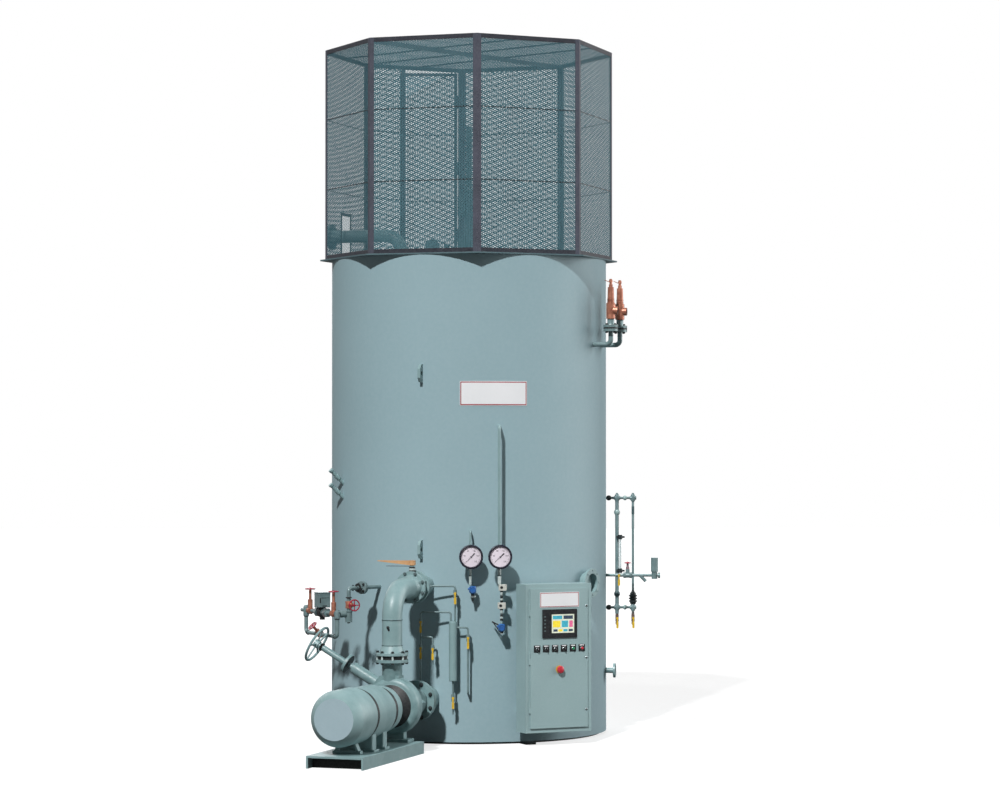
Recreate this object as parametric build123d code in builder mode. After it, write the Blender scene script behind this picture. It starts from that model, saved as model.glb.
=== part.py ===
from build123d import *
from math import cos, radians, sin, tan
import os

# Vertical electrode boiler with a mesh cage on its deck, a pump, feed and sample trains.
# Millimetres, +Z up, origin on the vessel axis at floor level, front at -Y.
# An azimuth is an angle about the axis from the front, positive towards +X.
# Local places are (distance from the axis, height, across), across being to the right.

# Fits
seat = 0.3
swing_gap = 5.0

# Vessel
shell_radius = 1219.0
shell_wall = 100.0
base_radius = 1170.0
base_height = 20.0
foot_azimuth = 20.5
foot_reach = 1320.0
foot_width = 92.0
foot_length = 200.0
shell_top = 4176.0
head_depth = 40.0

# Deck and cage
deck_radius = 1325.0
deck_thickness = 12.0
deck_top = shell_top + deck_thickness
cage_radius = 1280.0
cage_height = 1863.0
cage_top = deck_top + cage_height
angle_leg = 38.0
angle_thickness = 6.0
mesh_thickness = 4.0
mesh_bar = 7.0
mesh_columns = 4
mesh_rows = 7
roof_pitch = 290.0
roof_cells = 9
roof_bar_shift = 452.0
thin_bar = 12.0
gate_width = 200.0
gate_height = 382.0
gate_border = 28.0
facet_count = 8
corner_angle = 360.0 / facet_count
plain_sides = (-67.5, -22.5, 22.5, 67.5, 112.5, 157.5)

# Cage door, hinged beside the rear corner
door_side = -157.5
door_ajar = 24.0
door_frame = 28.0
jamb_place = 93.0
hinge_place = -450.0
hinge_offset = 4.0
hinge_radius = 8.0
hinge_length = 60.0
hinge_leaf = 26.0
hinge_plate = 3.0
door_hinges = (4500.0, 5120.0, 5740.0)

# Cover plate and what stands on it
cover_radius = 980.0
cover_thickness = 40.0
cover_edge = 10.0
cover_top = deck_top + cover_thickness
mast_radius = 37.5
mast_shoulder = 4815.0
mast_tube_radius = 26.5
mast_top = 5383.0
mast_base_radius = 90.0
mast_base_height = 24.0
mast_taper = 30.0
mast_box_width = 65.0
mast_box_depth = 60.0
mast_boxes = ((4283.0, 4383.0), (4583.0, 4752.0))
fitting_across = -327.0
fitting_height = 4312.0
fitting_pipe = 36.0
fitting_radius = 62.0
fitting_reach = 80.0
fitting_thickness = 24.0
head_box_across = -201.0
head_box_width = 52.0
head_box_height = 98.0
service_azimuth = -3.06

# Steam outlet
steam_azimuth = -112.5
steam_pipe_radius = 57.0
steam_bore_radius = 51.0
steam_leg = 645.0
steam_height = 4425.0
steam_bend = 150.0
steam_face = 1330.0
steam_flange_radius = 114.5
steam_flange_thickness = 24.0
steam_bore_length = 160.0
steam_pad_radius = 100.0
steam_pad_height = 20.0
steam_pcd = 190.5
steam_bolts = 8
steam_bolt_hole = 19.0

# Pump train, on its own azimuth
pump_azimuth = -22.5
pump_across = 50.0
shaft_height = 392.0
base_start = 1946.0
base_length = 1372.0
base_width = 485.0
channel_height = 100.0
channel_wall = 17.0
volute_place = 1987.0
volute_radius = 213.0
volute_depth = 130.0
motor_radius = 226.0
motor_start = 2330.0
motor_end = 2930.0
cowl_end = 3200.0
cowl_rim = 30.0
suction_radius = 109.5
suction_flange = 171.5
suction_thickness = 29.0
nozzle_face = 1481.0
valve_place = 1685.0
stem_tilt = 30.0
wheel_reach = 945.0
wheel_radius = 169.0
wheel_rim = 11.0
hub_length = 44.0
valve_belly = 120.0
valve_body_width = 230.0
valve_body_depth = 150.0
bonnet_low = 190.0
bonnet_high = 562.0
bonnet_lip = 46.0
bonnet_flange = 44.0
bonnet_radius = 48.5
stem_radius = 16.0
collar_place = 625.0
collar_radius = 83.0
collar_depth = 24.0
stem_tube = 26.5
neck_width = 150.0
neck_rise = 215.0
volute_round = 30.0
pump_foot_width = 200.0
pump_foot_pad = 24.0
bell_radius = 150.0
bell_wall = 14.0
window_height = 130.0
shaft_radius = 22.0
end_shield = 40.0
motor_feet = (2420.0, 2800.0)
motor_foot_width = 300.0
motor_foot_length = 70.0
discharge_radius = 84.0
discharge_flange = 139.5
discharge_thickness = 25.0
discharge_place = 1994.0
discharge_across = 29.0
pump_outlet = 790.0
discharge_height = 1350.0
discharge_bend = 229.0
discharge_pair = 1562.0
wafer_depth = 56.0
lever_height = 1534.0
lever_length = 310.0
lever_width = 30.0
lever_depth = 8.0
wafer_radius = 108.0
wafer_neck = 20.0

# Lifting lugs
lug_heights = (1657.0, 3157.0)
lug_height = 155.0
lug_reach = 66.0
lug_thickness = 25.0
lug_hole = 38.0

# Feed train
feed_azimuth = -67.5
feed_distance = 1578.0
feed_height = 1115.0
feed_drop = 190.0
feed_left = 30.0
feed_right = 715.0
feed_pipe = 17.0
feed_gates = (121.0, 637.0)
feed_wheel_height = 1303.0
feed_wheel_radius = 46.0
feed_control = 390.0
feed_bypass = 350.0
feed_nozzle_azimuth = -42.0
feed_nozzle_height = 1330.0
riser_distance = 1624.0
riser_wheel_height = 1192.0
riser_wheel_reach = 115.0
riser_wheel_turn = 24.0
riser_wheel_radius = 52.0
feed_inlet_bore = 13.0
feed_inlet_reach = 60.0
feed_inlet_depth = 60.0
feed_bend = 30.0
gate_valve_length = 60.0
gate_valve_radius = 28.0
control_length = 220.0
control_radius = 34.0
control_flange = 50.0
control_flange_depth = 18.0
actuator_low = 1157.0
actuator_width = 106.0
actuator_height = 129.0
strainer_radius = 30.0
strainer_length = 60.0
bottle_low = 1044.0
bottle_high = 1140.0
bottle_radius = 30.0
bypass_reach = 105.0
feed_flange_place = 1448.0
feed_flange_radius = 54.0
feed_flange_depth = 32.0
wheel_hub = 22.0
small_hub = 9.0

# Ball valves and their levers
small_valve_radius = 16.0
small_valve_length = 62.0
small_valve_neck = 34.0
small_lever = 92.0
small_lever_width = 20.0
small_lever_depth = 5.0
small_lever_hub = 11.0

# Sight tubes
sight_azimuth = -67.5
sight_heights = (2216.0, 2090.0)
sight_tilt = 43.0
sight_length = 165.0
sight_radius = 16.5
sight_coupling = 21.0

# Relief valves
relief_azimuths = (60.0, 70.0)
relief_distance = 1384.0
relief_nozzle = 3423.0
relief_pipe = 21.0
relief_flange_radius = 63.5
relief_flange_base = 3535.0
relief_body_radius = 40.0
relief_top = 3991.0
relief_outlet_height = 3715.0
relief_outlet_radius = 35.0
relief_outlet_bore = 20.0
relief_outlet_turn = 75.0
relief_outlet_reach = 62.0
relief_outlet_depth = 30.0
relief_flange_thickness = 28.0
relief_shoulder = 3780.0
relief_bonnet_top = 3919.0

# Water column and blow line
column_azimuth = 90.0
column_near = 1323.0
column_far = 1466.0
column_low = 1095.0
column_high = 2071.0
column_pipe = 25.0
column_far_pipe = 15.0
column_bottom = 1040.0
column_union = 30.0
column_unions = (1215.0, 1943.0)
column_valve_height = 1000.0
drain_leg_low = 940.0
glass_block = 40.0
trap_low = 1113.0
trap_length = 92.0
trap_radius = 30.0
glass_low = 1444.0
glass_high = 1704.0
glass_radius = 10.0
glass_place = 1345.0
glass_front = 62.0
blow_azimuth = 81.0
blow_height = 1391.0
blow_pipe = 13.0
blow_wheel_distance = 1412.0
blow_wheel_height = 1500.0
blow_wheel_radius = 30.0
blow_valve_radius = 24.0
blow_valve_length = 76.0
blow_strainer = 1520.0
blow_leg = 75.0
blow_reach = 1700.0
blow_end = 1650.0
blow_end_radius = 32.0
blow_end_top = 1548.0
blow_cap = 9.0
blow_lever_distance = 1338.0

# Right side nozzles
drain_azimuth = 78.0
drain_height = 553.0
drain_pipe = 24.0
drain_flange = 63.5
drain_face = 1310.0
drain_pcd = 98.4
drain_bolts = 4
drain_bolt_hole = 16.0
drain_bore = 20.0
drain_thickness = 18.0
drain_turn = 45.0
drain_depth = 70.0
port_azimuth = 53.0
port_height = 1348.0
port_ring = 125.0
port_bore = 82.5
port_face = 1290.0
port_pcd = 210.0
port_bolts = 8
port_bolt_hole = 14.0
port_wall = 12.0
port_thickness = 24.0
port_depth = 50.0

# Gauges, the pipes behind them and the instruments under them
gauge_turn = 8.0
gauge_height = 1600.0
gauge_radius = 103.5
gauge_depth = 48.0
gauge_front = 1371.0
gauge_pipe = 9.0
gauge_pipe_line = 1296.0
gauge_risers = ((10.0, 1351.0, 1817.0, 9.0), (257.0, 1365.0, 2707.0, 13.5))
gauge_stubs = (
    (31.0, 1224.0, 1284.0),
    (275.0, 1211.0, 1312.0),
    (275.0, 1032.0, 1158.0),
    (275.0, 945.0, 965.0),
)
transmitter_width = 81.0
transmitter_depth = 62.0
transmitter_height = 67.0
transmitter_places = ((31.0, 1284.0), (277.0, 965.0))
switch_width = 69.0
switch_depth = 50.0
switch_height = 53.0
switch_places = ((285.0, 1312.0), (277.0, 1158.0))

# Sample cooler and its pipes; places are (distance, height, across)
sample_line = 1296.0
cooler_across = -136.0
cooler_radius = 34.5
cooler_round = 8.0
cooler_low = 545.0
cooler_high = 1052.0
sample_pipe = 8.0
suction_top = shaft_height + suction_radius
sample_routes = (
    ((sample_line, suction_top, -410.0), (sample_line, 1130.0, -410.0),
     (sample_line, 1130.0, -155.0), (sample_line, cooler_high, -155.0)),
    ((sample_line, 1350.0, -350.0), (sample_line, 1350.0, -118.0),
     (sample_line, cooler_high, -118.0)),
    ((sample_line, 920.0, -410.0), (sample_line, 920.0, -308.0), (sample_line, 683.0, -308.0)),
    ((sample_line, 1000.0, -136.0 + cooler_radius), (sample_line, 1000.0, -9.0),
     (sample_line, 440.0, -9.0), (shell_radius * 0.9, 440.0, -9.0)),
)
sample_straights = ((264.0, cooler_low, -136.0),)
sample_valves = {
    "sample_lever_upper": (sample_line, 1290.0, -118.0),
    "sample_lever_left": (sample_line, 1048.0, -410.0),
    "sample_lever_lower": (sample_line, 827.0, -410.0),
    "sample_lever_branch": (sample_line, 819.0, -308.0),
    "sample_lever_right": (sample_line, 912.0, -9.0),
    "sample_lever_drain": (sample_line, 405.0, -136.0),
}

# Control cabinet
cabinet_azimuth = 22.5
cabinet_front = 1490.0
cabinet_depth = 196.0
cabinet_across = 137.0
cabinet_width = 622.0
cabinet_low = 112.0
cabinet_high = 1368.0
cabinet_wall = 6.0
door_margin = 38.0
door_thickness = 12.0
door_skin = 3.0
door_overlap = 16.0
cabinet_knuckles = (330.0, 740.0, 1150.0)
cabinet_knuckle = 6.0
cabinet_knuckle_length = 50.0
cabinet_knuckle_offset = 7.0
cabinet_panel_depth = 4.0
panel_inset = 60.0
bracket_heights = (300.0, 1180.0)
bracket_width = 540.0
bracket_height = 50.0
bracket_reach = 40.0
bezel_width = 327.0
bezel_height = 243.0
bezel_depth = 9.0
screen_width = 215.0
screen_tall = 159.0
screen_shift = 30.0
screen_recess = 2.0
legend_depth = 3.0
knob_radius = 14.0
knob_depth = 22.0
stop_stem = 16.0
stop_depth = 36.0
stop_radius = 32.0
screen_height = 1033.0
legend_height = 823.0
legend_pitch = 85.0
legend_size = 60.0
legend_count = 6
stop_height = 644.0


def outward(azimuth):
    """Unit direction away from the vessel axis."""
    return Vector(sin(radians(azimuth)), -cos(radians(azimuth)), 0)


def rightward(azimuth):
    """Unit direction to the right, seen from outside at that azimuth."""
    return Vector(cos(radians(azimuth)), sin(radians(azimuth)), 0)


def spot(azimuth, distance, height, across=0.0):
    """Point at a distance from the axis, at a height, shifted across to the right."""
    flat = outward(azimuth) * distance + rightward(azimuth) * across
    return Vector(flat.X, flat.Y, height)


def facing(azimuth, distance=0.0, height=0.0, across=0.0):
    """Plane that faces outward: x runs right, y runs up."""
    return Plane(
        origin=spot(azimuth, distance, height, across),
        x_dir=rightward(azimuth),
        z_dir=outward(azimuth),
    )


def bar(start, end, radius, bore=0.0):
    """Straight round bar or tube between two points."""
    start = Vector(start)
    along = Vector(end) - start
    with BuildSketch(Plane(origin=start, z_dir=along)) as section:
        Circle(radius)
        if bore > 0:
            Circle(bore, mode=Mode.SUBTRACT)
    extrude(section.sketch, amount=along.length)


def cone_bar(start, end, radius, end_radius):
    """Straight round bar that tapers between two points."""
    start = Vector(start)
    end = Vector(end)
    along = end - start
    with BuildSketch(Plane(origin=start, z_dir=along)) as section:
        Circle(radius)
    with BuildSketch(Plane(origin=end, z_dir=along)) as end_section:
        Circle(end_radius)
    loft([section.sketch, end_section.sketch])


def run(points, radius, bend):
    """Pipe along straight runs with rounded bends."""
    points = [Vector(point) for point in points]
    with BuildLine() as route:
        FilletPolyline(*points, radius=bend)
    with BuildSketch(Plane(origin=points[0], z_dir=points[1] - points[0])) as section:
        Circle(radius)
    sweep(section.sketch, path=route.line)


def ring(centre, direction, radius, thickness, bore=0.0):
    """Disc or flange centred on a point, square to a direction."""
    half = Vector(direction).normalized() * (thickness / 2)
    bar(Vector(centre) - half, Vector(centre) + half, radius, bore)


def brick(plane, width, height, depth):
    """Block that stands on a plane, centred on its origin."""
    with BuildSketch(plane) as section:
        Rectangle(width, height)
    extrude(section.sketch, amount=depth)


def trim_to_shell():
    """Seat whatever reaches the vessel on its round casing."""
    with BuildSketch(Plane.XY) as section:
        Circle(shell_radius + seat)
    extrude(section.sketch, amount=shell_top, mode=Mode.SUBTRACT)


def hand_wheel(plane, radius, rim, spokes, hub_radius, hub_depth):
    """Spoked handwheel centred on a plane whose normal is the stem."""
    side = Plane(origin=plane.origin, x_dir=plane.x_dir, z_dir=-plane.y_dir)
    with BuildSketch(side) as rim_section:
        with Locations((radius - rim, 0)):
            RegularPolygon(rim, 6)
    revolve(rim_section.sketch, axis=Axis(plane.origin, plane.z_dir))
    with BuildSketch(plane.offset(-hub_depth / 2)) as hub_section:
        Circle(hub_radius)
    extrude(hub_section.sketch, amount=hub_depth)
    with BuildSketch(plane.offset(-rim / 2)) as spoke_section:
        with PolarLocations(radius / 2, spokes):
            Rectangle(radius - rim, rim * 1.2)
    extrude(spoke_section.sketch, amount=rim)


def lever(plane, length, width, thickness, hub_radius):
    """Flat valve lever: its hub on the plane's origin, its grip along the plane's x."""
    with BuildSketch(plane) as section:
        Circle(hub_radius)
        with Locations((length / 2, 0)):
            Rectangle(length, width * 0.6)
        with Locations((length * 0.68, 0)):
            SlotOverall(length * 0.64, width)
    extrude(section.sketch, amount=thickness)


def valve_body(centre, along, stem, radius, length, neck):
    """Screwed valve body with hexagon ends and a stem boss."""
    centre = Vector(centre)
    along = Vector(along).normalized()
    stem = Vector(stem).normalized()
    for side in (-1, 1):
        outer = centre + along * (side * length / 2)
        with BuildSketch(Plane(origin=outer, x_dir=stem, z_dir=along * -side)) as section:
            RegularPolygon(radius * 1.05, 6)
        extrude(section.sketch, amount=length * 0.28)
    bar(centre - along * (length * 0.3), centre + along * (length * 0.3), radius * 0.95)
    bar(centre, centre + stem * (neck * 0.55), radius * 0.75)
    bar(centre + stem * (neck * 0.5), centre + stem * neck, radius * 0.42)


def lattice(plane, width, height, columns, rows):
    """Flat lattice in its own border, centred on a plane."""
    step_x = (width - mesh_bar) / columns
    step_y = (height - mesh_bar) / rows
    with BuildSketch(plane) as section:
        Rectangle(width, height)
        with GridLocations(step_x, step_y, columns, rows):
            Rectangle(step_x - mesh_bar, step_y - mesh_bar, mode=Mode.SUBTRACT)
    extrude(section.sketch, amount=mesh_thickness)


half_angle = corner_angle / 2
lean = radians(half_angle)
cage_apothem = cage_radius * cos(lean)
chord = 2 * cage_radius * sin(lean)
clear_chord = chord - 2 * angle_leg
panel_low = deck_top + angle_leg
panel_high = cage_top - angle_leg
panel_height = panel_high - panel_low
panel_middle = (panel_low + panel_high) / 2
panel_back = cage_apothem - angle_thickness
mesh_back = cage_apothem - (angle_thickness + mesh_thickness) / 2
beam_top = cage_top - 2 * mesh_thickness

# Base plate with its four feet
with BuildPart() as base_plate:
    with BuildSketch(Plane.XY):
        Circle(base_radius)
        with PolarLocations(foot_reach - foot_length / 2, 4, start_angle=foot_azimuth - 90):
            Rectangle(foot_length, foot_width)
    extrude(amount=base_height)

# Round shell, closed by the base plate and the deck
with BuildPart() as vessel_shell:
    with BuildSketch(Plane.XY.offset(base_height)):
        Circle(shell_radius)
        Circle(shell_radius - shell_wall, mode=Mode.SUBTRACT)
    extrude(amount=shell_top - base_height)

# Deck and the bolted cover on it
with BuildPart() as deck_plate:
    with BuildSketch(Plane.XY.offset(shell_top)):
        RegularPolygon(deck_radius, facet_count)
    extrude(amount=deck_thickness)

with BuildPart() as cover_plate:
    with BuildSketch(Plane.XY.offset(deck_top)):
        Circle(cover_radius)
    extrude(amount=cover_thickness)
    chamfer(cover_plate.faces().sort_by(Axis.Z)[-1].edges(), length=cover_edge)

# Cage frame: bent corner posts with the jamb of the door, and the rails between them
with BuildPart() as cage_posts:
    leg_x = angle_leg * cos(lean)
    leg_y = angle_leg * sin(lean)
    back_x = leg_x - angle_thickness * sin(lean)
    back_y = leg_y + angle_thickness * cos(lean)
    for corner in range(facet_count):
        azimuth = corner * corner_angle
        tip = spot(azimuth, cage_radius, deck_top)
        with BuildSketch(Plane(origin=tip, x_dir=rightward(azimuth), z_dir=(0, 0, 1))):
            with BuildLine():
                Polyline(
                    (0, 0),
                    (leg_x, leg_y),
                    (back_x, back_y),
                    (0, angle_thickness / cos(lean)),
                    (-back_x, back_y),
                    (-leg_x, leg_y),
                    close=True,
                )
            make_face()
        extrude(amount=cage_height)
    brick(facing(door_side, panel_back, panel_middle, jamb_place + angle_leg / 2),
          angle_leg, panel_height, angle_thickness)
    for height in door_hinges:
        knuckle = spot(door_side, cage_apothem + hinge_radius, height, hinge_place)
        bar(knuckle + Vector(0, 0, seat), knuckle + Vector(0, 0, hinge_length), hinge_radius)
        brick(facing(door_side, cage_apothem, height + (hinge_length + seat) / 2,
                     hinge_place - hinge_leaf / 2),
              hinge_leaf, hinge_length - seat, hinge_plate)

with BuildPart() as cage_rails:
    for number in range(facet_count):
        middle = half_angle + number * corner_angle
        for height in (deck_top + angle_leg / 2, cage_top - angle_leg / 2):
            brick(facing(middle, panel_back, height), clear_chord, angle_leg, angle_thickness)

# Mesh of the sides: whole sides, the side with the pipe's gate, and the strip beside the door
with BuildPart() as mesh_panels:
    for middle in plain_sides:
        lattice(facing(middle, mesh_back, panel_middle), clear_chord, panel_height,
                mesh_columns, mesh_rows)
    step_x = (clear_chord - mesh_bar) / mesh_columns
    step_y = (panel_height - mesh_bar) / mesh_rows
    with BuildSketch(facing(steam_azimuth, mesh_back, panel_middle)):
        Rectangle(clear_chord, panel_height)
        with GridLocations(step_x, step_y, mesh_columns, mesh_rows):
            Rectangle(step_x - mesh_bar, step_y - mesh_bar, mode=Mode.SUBTRACT)
        with Locations((0, (gate_height - panel_height) / 2 + gate_border / 2)):
            Rectangle(gate_width + 2 * gate_border, gate_height + gate_border)
        with Locations((0, (gate_height - panel_height) / 2)):
            Rectangle(gate_width, gate_height, mode=Mode.SUBTRACT)
    extrude(amount=mesh_thickness)
    strip_low = jamb_place + angle_leg
    strip_high = chord / 2 - angle_leg
    lattice(facing(door_side, mesh_back, panel_middle, (strip_low + strip_high) / 2),
            strip_high - strip_low, panel_height, 2, mesh_rows)

# Cage door, ajar, on its knuckles
with BuildPart() as cage_door:
    door_turn = door_side - door_ajar
    hinge_axis = spot(door_side, cage_apothem + hinge_radius, 0, hinge_place)
    door_low = panel_low + swing_gap
    door_high = panel_high - swing_gap
    door_start = hinge_offset
    door_end = jamb_place - swing_gap - hinge_place
    door_width = door_end - door_start
    door_origin = (hinge_axis + rightward(door_turn) * (door_start + door_width / 2)
                   - outward(door_turn) * (hinge_radius + angle_thickness)
                   + Vector(0, 0, panel_middle))
    door_plane = Plane(origin=door_origin, x_dir=rightward(door_turn), z_dir=outward(door_turn))
    with BuildSketch(door_plane):
        Rectangle(door_width, door_high - door_low)
        Rectangle(door_width - 2 * door_frame, door_high - door_low - 2 * door_frame,
                  mode=Mode.SUBTRACT)
    extrude(amount=angle_thickness)
    lattice(door_plane.offset((angle_thickness - mesh_thickness) / 2),
            door_width - 2 * door_frame, door_high - door_low - 2 * door_frame, 2, mesh_rows)
    for height in door_hinges:
        knuckle = hinge_axis + Vector(0, 0, height)
        bar(knuckle - Vector(0, 0, hinge_length), knuckle, hinge_radius)
        leaf = knuckle + rightward(door_turn) * (hinge_leaf / 2) - outward(door_turn) * hinge_radius
        brick(Plane(origin=leaf - Vector(0, 0, hinge_length / 2), x_dir=rightward(door_turn),
                    z_dir=outward(door_turn)),
              hinge_leaf, hinge_length, hinge_plate)

# Roof: one deep beam crossed by three thin bars, with the roof mesh on them
with BuildPart() as roof_frame:
    beam_half_tip = angle_thickness / cos(lean) + angle_thickness / 2 * tan(lean)
    beam_length = 2 * (cage_radius - beam_half_tip - seat)
    with BuildSketch(Plane.XY.offset(beam_top - angle_leg)):
        with Locations(Location((0, 0, 0), (0, 0, corner_angle))):
            Rectangle(beam_length, angle_thickness)
    extrude(amount=angle_leg)
    for shift in (-roof_bar_shift, 0, roof_bar_shift):
        reach = 2 * (cage_radius - abs(shift) * tan(lean) - 2 * angle_thickness)
        with BuildSketch(Plane.XY.offset(beam_top - thin_bar)):
            with Locations(Location((shift * cos(radians(corner_angle)),
                                     shift * sin(radians(corner_angle)), 0),
                                    (0, 0, -corner_angle))):
                Rectangle(reach, thin_bar)
        extrude(amount=thin_bar)

with BuildPart() as roof_mesh:
    roof_reach = (panel_back - seat) / cos(lean)
    with BuildSketch(Plane.XY.offset(beam_top)):
        RegularPolygon(roof_reach, facet_count)
        with GridLocations(roof_pitch, roof_pitch, roof_cells, roof_cells):
            Rectangle(roof_pitch - mesh_bar, roof_pitch - mesh_bar, mode=Mode.SUBTRACT)
        RegularPolygon(roof_reach, facet_count)
        RegularPolygon(roof_reach - thin_bar, facet_count, mode=Mode.SUBTRACT)
    extrude(amount=mesh_thickness)

# Steam outlet: leg from the cover, bend and flange outside the cage
with BuildPart() as steam_pipe:
    run([spot(steam_azimuth, steam_leg, cover_top),
         spot(steam_azimuth, steam_leg, steam_height),
         spot(steam_azimuth, steam_face - steam_flange_thickness, steam_height)],
        steam_pipe_radius, steam_bend)
    bar(spot(steam_azimuth, steam_leg, cover_top),
        spot(steam_azimuth, steam_leg, cover_top + steam_pad_height), steam_pad_radius)
    with BuildSketch(facing(steam_azimuth, steam_face, steam_height)):
        Circle(steam_flange_radius)
        with PolarLocations(steam_pcd / 2, steam_bolts):
            Circle(steam_bolt_hole / 2, mode=Mode.SUBTRACT)
    extrude(amount=-steam_flange_thickness)
    with BuildSketch(facing(steam_azimuth, steam_face, steam_height)):
        Circle(steam_bore_radius)
    extrude(amount=-steam_bore_length, mode=Mode.SUBTRACT)

# Lift cylinder on the cover, with its switch boxes and the small fittings beside it
with BuildPart() as lift_cylinder:
    axis_foot = Vector(0, 0, cover_top)
    ring(axis_foot + Vector(0, 0, mast_base_height / 2), (0, 0, 1), mast_base_radius,
         mast_base_height)
    bar(axis_foot + Vector(0, 0, mast_base_height), (0, 0, mast_shoulder), mast_radius)
    cone_bar((0, 0, mast_shoulder), (0, 0, mast_shoulder + mast_taper), mast_radius,
             mast_tube_radius)
    bar((0, 0, mast_shoulder + mast_taper), (0, 0, mast_top), mast_tube_radius)

with BuildPart() as head_fittings:
    for low, high in mast_boxes:
        brick(Plane(origin=spot(service_azimuth, -mast_box_depth / 2, (low + high) / 2,
                                -mast_radius - mast_box_width / 2 - seat),
                    x_dir=rightward(service_azimuth), z_dir=outward(service_azimuth)),
              mast_box_width, high - low, mast_box_depth)
    ring_place = spot(service_azimuth, 0, fitting_height, fitting_across)
    bar(spot(service_azimuth, 0, cover_top, fitting_across), ring_place, fitting_pipe)
    bar(ring_place, ring_place + outward(service_azimuth) * fitting_reach, fitting_pipe)
    ring(ring_place + outward(service_azimuth) * fitting_reach, outward(service_azimuth),
         fitting_radius, fitting_thickness)
    brick(Plane(origin=spot(service_azimuth, 0, cover_top, head_box_across),
                x_dir=rightward(service_azimuth), z_dir=(0, 0, 1)),
          head_box_width, head_box_width, head_box_height)

# Lifting lugs
with BuildPart() as lifting_lugs:
    for height in lug_heights:
        side = Plane(origin=spot(pump_azimuth, shell_radius, height,
                                 -lug_thickness / 2),
                     x_dir=outward(pump_azimuth), z_dir=rightward(pump_azimuth))
        with BuildSketch(side):
            with BuildLine():
                Polyline((-lug_thickness, -lug_height / 2), (lug_reach * 0.55, -lug_height / 2),
                         (lug_reach, -lug_height / 4), (lug_reach, lug_height / 4),
                         (lug_reach * 0.55, lug_height / 2), (-lug_thickness, lug_height / 2),
                         close=True)
            make_face()
            with Locations((lug_reach * 0.45, 0)):
                Circle(lug_hole / 2, mode=Mode.SUBTRACT)
        extrude(amount=lug_thickness)
    trim_to_shell()

# Side nozzles: rising sight tubes, the flanged inspection port and the drain
with BuildPart() as side_nozzles:
    for height in sight_heights:
        rise = outward(sight_azimuth) * cos(radians(sight_tilt))
        rise = rise + Vector(0, 0, sin(radians(sight_tilt)))
        root = spot(sight_azimuth, shell_radius, height)
        bar(root - rise * sight_coupling, root + rise * sight_length, sight_radius)
        bar(root + rise * (sight_length * 0.3), root + rise * (sight_length * 0.55),
            sight_coupling)
        bar(root + rise * (sight_length * 0.88), root + rise * (sight_length + seat),
            sight_coupling)
    with BuildSketch(facing(port_azimuth, shell_radius - shell_wall, port_height)):
        Circle(port_bore + port_wall)
    extrude(amount=port_face - port_thickness - shell_radius + shell_wall)
    with BuildSketch(facing(drain_azimuth, shell_radius - shell_wall, drain_height)):
        Circle(drain_pipe)
    extrude(amount=drain_face - drain_thickness - shell_radius + shell_wall)
    trim_to_shell()
    with BuildSketch(facing(port_azimuth, port_face - port_thickness, port_height)):
        Circle(port_ring)
    extrude(amount=port_thickness)
    with BuildSketch(facing(port_azimuth, port_face, port_height)):
        Circle(port_bore)
        with PolarLocations(port_pcd / 2, port_bolts):
            Circle(port_bolt_hole / 2)
    extrude(amount=-port_thickness, mode=Mode.SUBTRACT)
    with BuildSketch(facing(port_azimuth, port_face, port_height)):
        Circle(port_bore)
    extrude(amount=-port_depth, mode=Mode.SUBTRACT)
    with BuildSketch(facing(drain_azimuth, drain_face - drain_thickness, drain_height)):
        Circle(drain_flange)
    extrude(amount=drain_thickness)
    with BuildSketch(facing(drain_azimuth, drain_face, drain_height)):
        with PolarLocations(drain_pcd / 2, drain_bolts, start_angle=drain_turn):
            Circle(drain_bolt_hole / 2)
    extrude(amount=-drain_thickness, mode=Mode.SUBTRACT)
    with BuildSketch(facing(drain_azimuth, drain_face, drain_height)):
        Circle(drain_bore)
    extrude(amount=-drain_depth, mode=Mode.SUBTRACT)

# Relief valves on their risers
with BuildPart() as relief_piping:
    for azimuth in relief_azimuths:
        run([spot(azimuth, shell_radius - 2 * relief_pipe, relief_nozzle),
             spot(azimuth, relief_distance, relief_nozzle),
             spot(azimuth, relief_distance, relief_flange_base)],
            relief_pipe, 2 * relief_pipe)
        ring(spot(azimuth, relief_distance, relief_flange_base + relief_flange_thickness / 2),
             (0, 0, 1), relief_flange_radius, relief_flange_thickness)
    trim_to_shell()

with BuildPart() as relief_valves:
    for azimuth in relief_azimuths:
        low = relief_flange_base + relief_flange_thickness
        ring(spot(azimuth, relief_distance, low + relief_flange_thickness / 2), (0, 0, 1),
             relief_flange_radius, relief_flange_thickness)
        neck_top = relief_outlet_height - relief_outlet_radius * 2
        bar(spot(azimuth, relief_distance, low + relief_flange_thickness),
            spot(azimuth, relief_distance, neck_top), relief_body_radius * 0.75)
        bar(spot(azimuth, relief_distance, neck_top),
            spot(azimuth, relief_distance, relief_shoulder), relief_body_radius)
        cone_bar(spot(azimuth, relief_distance, relief_shoulder),
                 spot(azimuth, relief_distance, relief_bonnet_top),
                 relief_body_radius * 0.75, relief_body_radius * 0.66)
        bar(spot(azimuth, relief_distance, relief_bonnet_top),
            spot(azimuth, relief_distance, relief_top), relief_body_radius * 0.3)
        out = spot(azimuth, relief_distance, relief_outlet_height)
        mouth = out + outward(relief_outlet_turn) * relief_outlet_reach
        bar(out, mouth, relief_outlet_radius)
        with BuildSketch(Plane(origin=mouth, z_dir=outward(relief_outlet_turn))):
            Circle(relief_outlet_bore)
        extrude(amount=-relief_outlet_depth, mode=Mode.SUBTRACT)

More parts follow.
